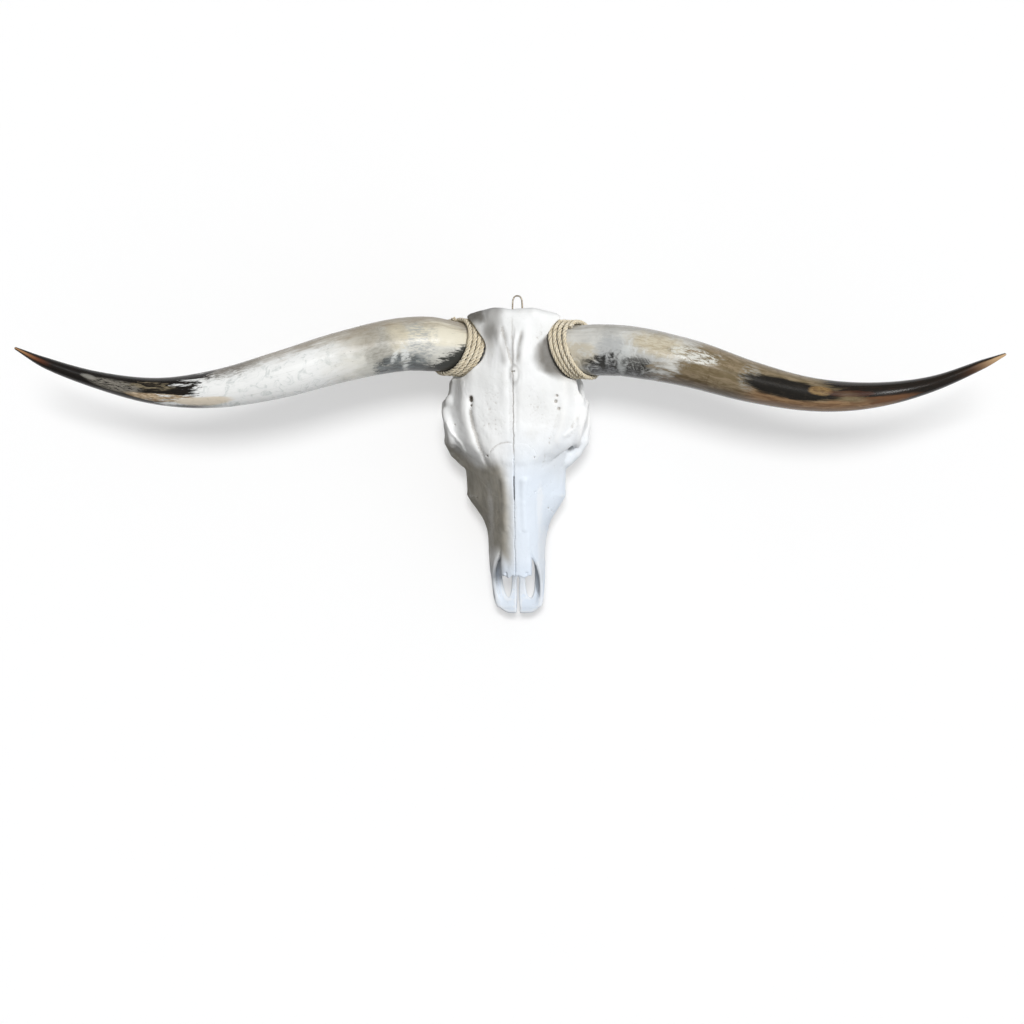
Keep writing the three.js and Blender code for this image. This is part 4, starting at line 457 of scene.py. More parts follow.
take("nasal_left", in_nasal, (-42,20,50), (2,222,160), -1)
take("nasal_right", in_nasal, (-2,20,50), (42,222,160), 1)
out = [in_nasal]
take("vomer", in_vomer, (-6,55,30), (6,188,110), regions_out=out); out = out + [in_vomer]
take("incisive_left", in_incisive, (-50,-8,20), (2,112,110), -1, regions_out=out)
take("incisive_right", in_incisive, (-2,-8,20), (50,112,110), 1, regions_out=out); out = out + [in_incisive]
take("zygomatic_left", in_zygomatic, (-103,184,26), (-56,290,94), -1, regions_out=out)
take("zygomatic_right", in_zygomatic, (56,184,26), (103,290,94), 1, regions_out=out); out = out + [in_zygomatic]
take("maxilla_left", in_maxilla, (-90,5,-4), (2,230,145), -1, regions_out=out)
take("maxilla_right", in_maxilla, (-2,5,-4), (90,230,145), 1, regions_out=out); out = out + [in_maxilla]
take("occipital", in_occipital, (-68,296,-4), (68,392,122), regions_out=out); out = out + [in_occipital]
take("frontal_left", None, (-104,100,-4), (3,390,160), -1, regions_out=out)
take("frontal_right", None, (-3,100,-4), (104,390,160), 1, regions_out=out)

# ------------------------------------------------------------------ horns and ropes follow the same middle lines as the solids
class Line:
    def __init__(s, side, stations):
        s.side = side
        root = warp(np.array([[side*NECK[0], NECK[1], NECK[2]]], float))[0]; d = np.array([side*neck_axis[0], neck_axis[1], neck_axis[2]])
        s.pts = np.array([root - 20*d, root] + [[side*o, v, z] for o, v, z, r in stations])
        s.N = len(stations) + 1; s.rad = [[i + 1, r] for i, r in enumerate([NECK_R + 0.2] + [q[3] for q in stations])]
        s.face = np.array([side*neck_face[0], neck_face[1], neck_face[2]])
        u = np.linspace(0, 1, 4001); p = s.at(u)
        s.run = np.concatenate([[0], np.cumsum(np.linalg.norm(np.diff(p, axis=0), axis=1))]); s.u = u; s.length = s.run[-1]
    def point(s, t):  # centripetal curve through the points
        t = np.atleast_1d(t); P = s.pts; l = len(P); p = (l - 1)*t; i = np.clip(np.floor(p).astype(int), 0, l - 2); w = (p - i)[:, None]
        ext = np.vstack([2*P[0] - P[1], P, 2*P[-1] - P[-2]])
        p0, p1, p2, p3 = ext[i], ext[i+1], ext[i+2], ext[i+3]
        d0, d1, d2 = [np.maximum(((a - b)**2).sum(1)**0.25, 1e-4)[:, None] for a, b in ((p0,p1),(p1,p2),(p2,p3))]
        t1 = ((p1 - p0)/d0 - (p2 - p0)/(d0 + d1) + (p2 - p1)/d1)*d1; t2 = ((p2 - p1)/d1 - (p3 - p1)/(d1 + d2) + (p3 - p2)/d2)*d1
        c2 = -3*p1 + 3*p2 - 2*t1 - t2; c3 = 2*p1 - 2*p2 + t1 + t2
        return p1 + t1*w + c2*w*w + c3*w**3
    def at(s, u): return s.point((1 + np.atleast_1d(u)*(s.N - 1))/s.N)
    def tangent(s, u):
        u = np.atleast_1d(u); e = 0.002; d = s.point(np.clip((1 + (u + e)*(s.N - 1))/s.N, 0, 1)) - s.point(np.clip((1 + (u - e)*(s.N - 1))/s.N, 0, 1))
        return d/np.linalg.norm(d, axis=1, keepdims=True)
    def radius(s, u): return curve(s.rad, 1 + np.atleast_1d(u)*(s.N - 1))
    def u_at(s, mm): return np.interp(mm, s.run, s.u)
    def frames(s, u):
        t = s.tangent(u); w = np.cross(t, [0,0,1]); w /= np.linalg.norm(w, axis=1, keepdims=True); q = np.cross(w, t); q /= np.linalg.norm(q, axis=1, keepdims=True)
        return t, w, q
    def around(s, u, a, r, slant):
        u, a, r = np.broadcast_arrays(np.atleast_1d(u), a, r); t, w, q = s.frames(u)
        o = w*(r*np.cos(a))[:, None] + q*(r*np.sin(a))[:, None]
        shift = -(o @ s.face)/(t @ s.face)
        return s.at(u) + o + t*(shift*slant)[:, None]
LEFT, RIGHT = Line(-1, HORN_LEFT), Line(1, HORN_RIGHT)

def ring_mesh(rings, close=True):
    """Points and faces of a skin over rings of equal count, closed round each ring and open at both ends."""
    n, k = rings.shape[:2]; P = rings.reshape(-1, 3)
    i, j = np.meshgrid(np.arange(n - 1), np.arange(k), indexing="ij"); a = i*k + j; b = i*k + (j + 1) % k
    return P, np.stack([a, b, b + k, a + k], -1).reshape(-1, 4)
def horn(name, L, start):
    n, k = ((560, 96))
    u0 = float(L.u_at(start)); mm = np.linspace(start, L.length, n); u = L.u_at(mm)
    uu, aa = np.meshgrid(u, -np.arange(k)*2*np.pi/k, indexing="ij"); al = np.repeat(mm[:, None], k, 1)
    hi = np.cos(aa)*(-L.side); front = np.sin(aa)
    slant = np.clip(1 - (uu - u0)/0.16, 0, 1)**1.2
    r = L.radius(uu.ravel()).reshape(uu.shape)
    # growth rings crowd near the root, long shallow facets run to the tip
    g = 0.30*noise(al/9 + 0.6*hi, hi*0.8, front*0.8, 11)*step01(-al, -260, -20) + 0.45*noise(al/60, hi*1.3, front*1.3, 12) + 0.10*noise(al/3.2, hi*0.7, front*0.7, 13)*step01(-al, -160, -20)
    r = r + g - 0.35
    P = L.around(uu.ravel(), aa.ravel(), r.ravel(), slant.ravel()).reshape(n, k, 3)
    end, t = L.at(1.0)[0], L.tangent(1.0)[0]
    # rounded tip
    cap = [end + (P[-1] - end)*math.cos(b) + t*2.6*math.sin(b) for b in np.linspace(0.3, 1.5, 6)]
    rings = np.concatenate([P, np.array(cap)]); al = np.concatenate([al, np.full((6, k), L.length) + np.linspace(.5, 2.6, 6)[:, None]]); hi = np.concatenate([hi, np.repeat(hi[-1:], 6, 0)]); front = np.concatenate([front, np.repeat(front[-1:], 6, 0)])
    V, Q = ring_mesh(rings)
    ob = build(name, to_part(V), Q)
    me = ob.data
    import bmesh
    bm = bmesh.new(); bm.from_mesh(me); edges = [e for e in bm.edges if e.is_boundary]; bmesh.ops.holes_fill(bm, edges=edges, sides=0); bmesh.ops.recalc_face_normals(bm, faces=bm.faces); bm.to_mesh(me); bm.free()
    attribute(ob, "along", al.ravel()); attribute(ob, "hi", hi.ravel()); attribute(ob, "front", front.ravel())
    R = 24.0
    attribute(ob, "grain", np.stack([al.ravel(), hi.ravel()*R, front.ravel()*R], 1), "FLOAT_VECTOR")
    return ob
def rope_path(L, start, per=120):
    n = int(ROPE_TURNS*per); f = np.arange(-0.02*per, n + 0.02*per)/per; mm = start + ROPE_R + curve(ROPE_AT, f)
    u = L.u_at(np.maximum(mm, 0)); a = -L.side*(f*2*np.pi) + (4.5 if L.side < 0 else -2.2)
    t, w, q = L.frames(u); o = w*np.cos(a)[:, None] + q*np.sin(a)[:, None]
    shift = -(o @ L.face)/(t @ L.face)*L.radius(u)
    r = np.maximum(L.radius(u), L.radius(L.u_at(np.maximum(mm + shift, 0)))) + ROPE_R + 0.55
    return L.around(u, a, r, 1.0), o
def rope(name, L, start):
    """Three strands twisted together, each with its own loose fibres."""
    path, o = rope_path(L, start)
    d = np.gradient(path, axis=0); t = d/np.linalg.norm(d, axis=1, keepdims=True); run = np.concatenate([[0], np.cumsum(np.linalg.norm(np.diff(path, axis=0), axis=1))])
    m = int(run[-1]/(0.9)); s = np.linspace(0, run[-1], m)
    path = np.stack([np.interp(s, run, path[:, k]) for k in range(3)], 1); t = np.gradient(path, axis=0); t /= np.linalg.norm(t, axis=1, keepdims=True)
    e1 = np.stack([np.interp(s, run, o[:, k]) for k in range(3)], 1); e1 -= t*(e1*t).sum(1, keepdims=True); e1 /= np.linalg.norm(e1, axis=1, keepdims=True); e2 = np.cross(t, e1)
    Vs, Qs, tw, gr, off = [], [], [], [], 0
    lay = 17.0; k = 10
    for strand in range(3):
        ph = 2*np.pi*(s/lay + strand/3.0) + 0.25*noise(s/23, s*0, s*0 + strand, 21)
        R = 1.42 + 0.10*noise(s/9, s*0 + 4, s*0 + strand, 22); rr = 1.42 + 0.13*noise(s/5, s*0 + 8, s*0 + strand, 23)
        c = path + e1*(R*np.cos(ph))[:, None] + e2*(R*np.sin(ph))[:, None]
        ct = np.gradient(c, axis=0); ct /= np.linalg.norm(ct, axis=1, keepdims=True); r1 = e1*np.cos(ph)[:, None] + e2*np.sin(ph)[:, None]; r1 -= ct*(r1*ct).sum(1, keepdims=True); r1 /= np.linalg.norm(r1, axis=1, keepdims=True); r2 = np.cross(ct, r1)
        b = np.arange(k)*2*np.pi/k
        lump = rr[:, None]*(1 + 0.10*noise(s[:, None]/1.1 + 3*np.sin(b)[None], np.cos(b)[None]*2 + 0*s[:, None], np.full((m, k), float(strand)), 24))
        rings = c[:, None] + lump[..., None]*(np.cos(b)[None, :, None]*r1[:, None] + np.sin(b)[None, :, None]*r2[:, None])
        V, Q = ring_mesh(rings); Vs.append(V); Qs.append(Q + off); off += len(V); tw.append(np.stack([np.repeat(s, k)*1.0, np.tile(b, m)*1.4 + strand*9, np.full(m*k, strand*5.0)], 1))
        # painted shade mask: the faces of each strand turned in towards the rope's middle, where the strands meet
        dist = np.linalg.norm(rings - path[:, None], axis=2).ravel(); gr.append(step01(-dist, -2.45, -1.5))
    # stray fibres
    rng = np.random.default_rng(5 if L.side < 0 else 6)
    for _ in range(90):
        i = rng.integers(5, m - 30); a = rng.uniform(0, 2*np.pi); ln = rng.uniform(4, 11); q = np.linspace(0, 1, 7)
        base = path[i] + e1[i]*2.5*math.cos(a) + e2[i]*2.5*math.sin(a); out_ = e1[i]*math.cos(a) + e2[i]*math.sin(a)
        if out_ @ e1[i] < -0.2: continue
        bend = rng.normal(size=3)*0.5
        c = base + t[i]*(q*ln)[:, None] + out_*(q*q*rng.uniform(.4, 2.4))[:, None] + bend*(q*q)[:, None]
        rr = (0.17*(1 - q*0.8))[:, None, None]; b = np.arange(3)*2*np.pi/3
        rings = c[:, None] + rr*(np.cos(b)[None, :, None]*out_ + np.sin(b)[None, :, None]*np.cross(t[i], out_))
        V, Q = ring_mesh(rings); Vs.append(V); Qs.append(Q + off); off += len(V); tw.append(np.repeat(np.stack([q*ln + s[i], q*0, q*0 + 20], 1), 3, 0)); gr.append(np.zeros(len(V)))
    ob = build(name, to_part(np.concatenate(Vs)), np.concatenate(Qs))
    import bmesh
    bm = bmesh.new(); bm.from_mesh(ob.data); bmesh.ops.holes_fill(bm, edges=[e for e in bm.edges if e.is_boundary], sides=0); bmesh.ops.recalc_face_normals(bm, faces=bm.faces); bm.to_mesh(ob.data); bm.free()
    attribute(ob, "twist", np.concatenate(tw), "FLOAT_VECTOR"); attribute(ob, "strand_gap_shade", np.concatenate(gr))
    return ob
def wire(name):
    x0 = -0.06*(WIRE_Z - 60) + 4.2
    pts = [(-1,361),(-1,372),(-1,385),(-0.93,392)]
    P = [(x0 + k*WIRE_HALF, v, WIRE_Z) for k, v in pts]
    P += [(x0 + WIRE_HALF*0.86*math.cos(math.pi - i/12*math.pi), 392.6 + (WIRE_TOP - WIRE_R - 392.6)*math.sin(math.pi - i/12*math.pi), WIRE_Z) for i in range(1, 12)]
    P += [(x0 - k*WIRE_HALF, v, WIRE_Z) for k, v in pts[::-1]]
    L = Line.__new__(Line); L.pts = np.array(P, float)
    c = L.point(np.linspace(0, 1, 160)); c[:, 2] += 0.12*np.sin(np.linspace(0, 9, 160)); t = np.gradient(c, axis=0); t /= np.linalg.norm(t, axis=1, keepdims=True)
    up = np.array([0, 0, 1.0]); w = np.cross(t, up); w /= np.linalg.norm(w, axis=1, keepdims=True); b = np.arange(14)*2*np.pi/14
    rings = c[:, None] + (WIRE_R - 0.02)*(np.cos(b)[None, :, None]*w[:, None] + np.sin(b)[None, :, None]*np.cross(w, t)[:, None])
    V, Q = ring_mesh(rings); ob = build(name, to_part(V), Q)
    import bmesh
    bm = bmesh.new(); bm.from_mesh(ob.data); bmesh.ops.holes_fill(bm, edges=[e for e in bm.edges if e.is_boundary], sides=0); bmesh.ops.recalc_face_normals(bm, faces=bm.faces); bm.to_mesh(ob.data); bm.free()
    return ob

# ------------------------------------------------------------------ node expressions
class E:
    tree = None
    def __init__(s, sock): s.s = sock
    @staticmethod
    def math(op, *a, clamp=False):
        n = E.tree.nodes.new("ShaderNodeMath"); n.operation = op; n.use_clamp = clamp
        for i, q in enumerate(a):
            if isinstance(q, E): E.tree.links.new(q.s, n.inputs[i])
            else: n.inputs[i].default_value = float(q)
        return E(n.outputs[0])
    def __add__(s, o): return E.math("ADD", s, o)
    __radd__ = __add__
    def __sub__(s, o): return E.math("SUBTRACT", s, o)
    def __rsub__(s, o): return E.math("SUBTRACT", o, s)
    def __mul__(s, o): return E.math("MULTIPLY", s, o)
    __rmul__ = __mul__
    def __truediv__(s, o): return E.math("DIVIDE", s, o)
    def __pow__(s, o): return E.math("POWER", s, o)
    def clamp(s): return E.math("ADD", s, 0, clamp=True)
def ramp(x, lo, hi):
    n = E.tree.nodes.new("ShaderNodeMapRange"); n.interpolation_type = "SMOOTHSTEP"; E.tree.links.new(x.s, n.inputs[0])
    n.inputs[1].default_value, n.inputs[2].default_value = (lo, hi) if lo < hi else (hi, lo)
    n.inputs[3].default_value, n.inputs[4].default_value = (0, 1) if lo < hi else (1, 0)
    return E(n.outputs[0])

def gauss(x, c, w):
    q = (x - c)/w
    return E.math("EXPONENT", -1*(q*q))
def attr(name, vector=False):
    n = E.tree.nodes.new("ShaderNodeAttribute"); n.attribute_name = name
    return n.outputs["Vector"] if vector else E(n.outputs["Fac"])
def place_(): return E.tree.nodes.new("ShaderNodeTexCoord").outputs["Object"]
def scaled(vec, s):
    n = E.tree.nodes.new("ShaderNodeVectorMath"); n.operation = "MULTIPLY"; E.tree.links.new(vec, n.inputs[0]); n.inputs[1].default_value = s
    return n.outputs[0]
def shifted(vec, s):
    n = E.tree.nodes.new("ShaderNodeVectorMath"); n.operation = "ADD"; E.tree.links.new(vec, n.inputs[0]); n.inputs[1].default_value = s
    return n.outputs[0]
def fbm(vec, scale, detail=4, rough=0.55, warp_=0.0):
    n = E.tree.nodes.new("ShaderNodeTexNoise"); E.tree.links.new(vec, n.inputs["Vector"])
    n.inputs["Scale"].default_value = scale; n.inputs["Detail"].default_value = detail; n.inputs["Roughness"].default_value = rough; n.inputs["Distortion"].default_value = warp_
    return E(n.outputs["Fac"])
def cells(vec, scale, feature="F1"):
    n = E.tree.nodes.new("ShaderNodeTexVoronoi"); n.feature = feature; E.tree.links.new(vec, n.inputs["Vector"]); n.inputs["Scale"].default_value = scale
    return E(n.outputs["Distance"])
def xyz(vec):
    n = E.tree.nodes.new("ShaderNodeSeparateXYZ"); E.tree.links.new(vec, n.inputs[0]); return [E(o) for o in n.outputs]
def srgb(h):
    c = [int(h[i:i+2], 16)/255 for i in (0, 2, 4)]
    return tuple((q/12.92 if q <= 0.04045 else ((q + 0.055)/1.055)**2.4) for q in c) + (1,)
def mix(fac, a, b, mode="MIX"):
    n = E.tree.nodes.new("ShaderNodeMix"); n.data_type = "RGBA"; n.blend_type = mode; n.clamp_factor = True
    if isinstance(fac, E): E.tree.links.new(fac.s, n.inputs[0])
    else: n.inputs[0].default_value = fac
    for i, q in ((6, a), (7, b)):
        if isinstance(q, tuple): n.inputs[i].default_value = q
        else: E.tree.links.new(q, n.inputs[i])
    return n.outputs[2]
def material(name):
    m = bpy.data.materials.new(name); m.use_nodes = True; t = m.node_tree; E.tree = t
    return m, t.nodes["Principled BSDF"]
def feed(bsdf, color=None, rough=None, height=None, distance=0.0005, strength=1.0):
    t = E.tree
    if color is not None: t.links.new(color, bsdf.inputs["Base Color"])
    if rough is not None: t.links.new(rough.s, bsdf.inputs["Roughness"])
    if height is not None:
        b = t.nodes.new("ShaderNodeBump"); b.inputs["Distance"].default_value = distance; b.inputs["Strength"].default_value = strength
        t.links.new(height.s, b.inputs["Height"]); t.links.new(b.outputs[0], bsdf.inputs["Normal"])

# ------------------------------------------------------------------ materials
def bone_material():
    m, b = material("bone")
    p = place_(); x, y, z = xyz(p)
    big, mid, fine = fbm(p, 14, 3, 0.55), fbm(p, 55, 5, 0.6), fbm(p, 420, 3, 0.6)
    streak = fbm(scaled(p, (1.0, 0.22, 1.0)), 160, 5, 0.65)
    c = mix(ramp(big, 0.35, 0.68), srgb("f7f8f8"), srgb("ecedec"))
    c = mix(ramp(mid, 0.58, 0.80)*0.30, c, srgb("d8d5cc"))
    c = mix(ramp(streak, 0.62, 0.82)*0.25, c, srgb("c8c2b6"))
    c = mix(ramp(fbm(p, 900, 2, 0.5), 0.66, 0.80)*0.35, c, srgb("9d9282"))
    # painted shade: the left flank of the snout and the outer left nasal bone are darkened where they turn away from
    # the light, partly a warm stain
    up_y = (y + 0.065).clamp()
    lift = (x*(-1) - 0.037).clamp()
    wall = ramp(x + 4.5*(up_y*up_y) + (streak - 0.5)*0.006, 0.0115, -0.0085)*ramp(y - lift*0.84 - 0.008*ramp(x, -0.046, -0.027) + (mid - 0.5)*0.014, -0.008, -0.026)*ramp(y + (x + 0.014).clamp()*1.6, -0.130, -0.108)
    c = mix(wall*(0.68 + 0.34*streak), c, mix(ramp(mid, 0.40, 0.60), srgb("9b9485"), srgb("8c8678")))
    # painted cool light: bluish white on the right side of the snout and over the nose tip
    c = mix(ramp(y + (big - 0.5)*0.05, 0.045, -0.045)*(1 - wall)*ramp(x, -0.020, 0.012)*0.8, c, srgb("dfe9f5"))
    c = mix(ramp(y, -0.125, -0.150)*0.8, c, srgb("dce6f2"))
    # dark specks and pores
    pores = ramp(cells(p, 520), 0.20, 0.05)*ramp(fbm(p, 40, 3, 0.5), 0.50, 0.66)
    c = mix(pores*0.6, c, srgb("6d6252"))
    # worn enamel of the teeth and the warm underside
    c = mix(ramp(z, 0.030, 0.012)*0.75, c, mix(ramp(fbm(scaled(p, (1, 1, 0.25)), 260, 4, 0.6), 0.42, 0.62), srgb("d9cfb8"), srgb("8f7b5c")))
    # painted shade in creases and hollows, painted highlight on ridges
    fold_ = attr("fold")
    c = mix(ramp(fold_ + (mid - 0.5)*0.5, -0.12, -0.62)*0.42, c, srgb("a0978a"))
    c = mix(ramp(fold_ + (mid - 0.5)*0.3, 0.10, 0.5)*0.35, c, srgb("faf9f7"))
    # painted shade inside the nose and in the holes, with the dark seams between the bones
    hollow = attr("hollow")
    c = mix(hollow*0.8, c, srgb("7d705e"))
    c = mix(attr("shade")*(0.82 + 0.36*mid), c, mix(ramp(big, 0.4, 0.6), srgb("6b6862"), srgb("74706a")))   # painted shade on the poll, over the boss and beside the horns, with the painted shadow of the right rope
    h = fine*0.35 + mid*0.5 + streak*0.6 - pores*1.2
    feed(b, c, 0.62 + mid*0.25, h, 0.0006, 0.55)
    b.inputs["Specular IOR Level"].default_value = 0.35
    return m
def blob(al, hi, a0, aw, h0, hw, n, amp=0.8, soft=0.45):
    """A ragged patch round a place along and up the horn."""
    p, q = (al - a0)*(1.0/aw), (hi - h0)*(1.0/hw)
    return ramp(p*p + q*q + (n - 0.5)*(2*amp), 1 + soft, 1 - soft)
def horn_noises(g):
    return (fbm(scaled(g, (0.014, 0.05, 0.05)), 1.6, 6, 0.62, 0.6), fbm(scaled(g, (0.03, 0.16, 0.16)), 1.5, 6, 0.65, 0.4), fbm(scaled(g, (0.018, 0.03, 0.03)), 1.3, 5, 0.6, 0.3),
            fbm(scaled(g, (0.09, 0.42, 0.42)), 1.5, 5, 0.65, 0.3), fbm(scaled(g, (0.02, 0.9, 0.9)), 1.0, 4, 0.6), fbm(scaled(g, (0.05, 0.06, 0.06)), 1.5, 5, 0.7, 1.2))
def horn_pale_material():
    m, b = material("horn_pale")
    g = attr("grain", True); al, hi = attr("along"), attr("hi")
    n1, n2, n3, n4, hair, n5 = horn_noises(g)
    c = mix(ramp(n3, 0.40, 0.62), srgb("dedcd3"), srgb("c6c5bd"))                              # cream and grey clouds near the root
    c = mix(blob(al, hi, 55, 42, 0.35, 0.45, n3)*0.5, c, srgb("ded4b6"))
    c = mix(blob(al, hi, 80, 24, 0.0, 0.8, n5, 1.0, 0.7)*ramp(n4, 0.42, 0.60)*0.6, c, srgb("92979b"))    # blue-grey scratches
    c = mix(blob(al, hi, 103, 13, 0.3, 0.6, n5, 1.2, 0.7)*0.6, c, srgb("cdc1a3"))
    c = mix(blob(al, hi, 125, 19, 0.05, 0.75, n5, 1.5, 0.8)*0.7, c, mix(ramp(n4, 0.42, 0.6), srgb("a3a097"), srgb("827e73")))
    c = mix(blob(al, hi, 150, 26, 0.45, 0.5, n5, 1.2, 0.8)*0.4, c, srgb("aca08b"))
    c = mix(ramp(al + (n1 - .5)*120, 140, 215)*0.9, c, mix(ramp(n5, 0.5, 0.66), srgb("f4f5f4"), srgb("d6dad9")))      # whiter further out
    c = mix(ramp(hi + (n2 - .5)*1.1, 0.42, 0.98)*ramp(al, 345, 250)*0.8, c, srgb("92836c"))                     # warm grey along the upper edge, partly the horn's colour and partly painted shade
    c = mix(ramp(hi + (n4 - .5)*1.4, 0.25, 0.9)*ramp(al + (n1 - .5)*60, 255, 300)*ramp(al, 350, 335)*0.85, c, srgb("5c5142"))
    c = mix(ramp(n4, 0.60, 0.74)*ramp(al, 270, 150)*0.5, c, srgb("7d7a74"))
    c = mix(ramp(fbm(scaled(g, (0.16, 0.5, 0.5)), 1.6, 4, 0.7), 0.64, 0.74)*ramp(al, 200, 80)*0.55, c, srgb("f4f3ee"))
    # black-green patches low near the root
    patch = ramp(hi + (n4 - 0.5)*1.5 + (al - 25)*0.026, 0.12, -0.14)*ramp(al + (n4 - .5)*22, 62, 48)
    patch2 = blob(al, hi, 100, 34, -0.86, 0.46, n4, 1.1, 0.35)
    edge_low = ramp(hi + (n4 - .5)*0.5, -0.72, -0.92)*ramp(al, 130, 105)
    c = mix((patch + edge_low).clamp()*0.95, c, srgb("191c17"))
    c = mix(patch2*ramp(n5 + n4, 0.78, 0.98)*0.9, c, mix(ramp(n2, 0.42, 0.60), srgb("202423"), srgb("6f7678")))
    c = mix(patch2*0.30, c, srgb("7f8587"))
    c = mix(blob(al, hi - (al - 95)*0.03, 95, 6, -0.55, 0.42, n5, 1.6, 0.8)*ramp(n4, 0.40, 0.54)*0.85, c, srgb("e3e5e2"))
    c = mix(blob(al, hi + (al - 104)*0.03, 108, 6, -0.35, 0.16, n5, 1.4, 0.8)*ramp(n4, 0.42, 0.54)*0.75, c, srgb("e3e5e2"))
    # jagged change to black
    edge = al + (n1 - 0.5)*130 + (n2 - 0.5)*150 + (n4 - .5)*60 + hi*34
    dark = ramp(edge, 352, 378)
    c = mix(dark, c, mix(ramp(n4, 0.48, 0.66), srgb("0d0a07"), srgb("231811")))
    c = mix(blob(al, hi, 392, 46, -0.52, 0.27, n2, 0.9, 0.3)*dark*0.95, c, mix(ramp(n4, 0.4, 0.6), srgb("d3bfa2"), srgb("8f7659")))   # brown and cream low down
    c = mix(blob(al, hi, 345, 34, -0.66, 0.24, n2, 0.7, 0.4)*0.7, c, srgb("d9c7ab"))
    c = mix(ramp(hi + (n4 - .5)*0.25, -0.80, -0.93)*gauss(al, 362, 26)*0.95, c, srgb("0e0b08"))
    c = mix(blob(al, hi, 408, 32, 0.28, 0.3, n4, 1.1, 0.3)*ramp(n2, 0.46, 0.56)*0.75, c, srgb("8d8168"))
    c = mix(blob(al, hi, 452, 34, -0.12, 0.55, n4, 1.0, 0.4)*ramp(n4, 0.40, 0.56)*0.85, c, srgb("8e897f"))
    c = mix(blob(al, hi, 486, 9, 0.12, 0.26, n4, 1.2, 0.8)*0.5, c, srgb("a9a69d"))
    c = mix(ramp(hi + (n2 - .5)*1.1, -0.62, -0.05)*ramp(hi + (n2 - .5)*1.1, 0.62, 0.20)*ramp(al, 530, 556)*ramp(al, 600, 588)*0.9, c, mix(ramp(al, 545, 590), srgb("6f4028"), srgb("c99a6c")))  # light through the tip
    c = mix(ramp(hair, 0.58, 0.72)*0.16, c, srgb("5f5546"))
    rough = 0.20 + n2*0.14 + ramp(al, 140, 10)*0.20
    feed(b, c, rough, hair*0.5 + n2*0.5, 0.0004, 0.22)
    b.inputs["Specular IOR Level"].default_value = 0.35
    b.inputs["Coat Weight"].default_value = 0.12; b.inputs["Coat Roughness"].default_value = 0.16
    return m
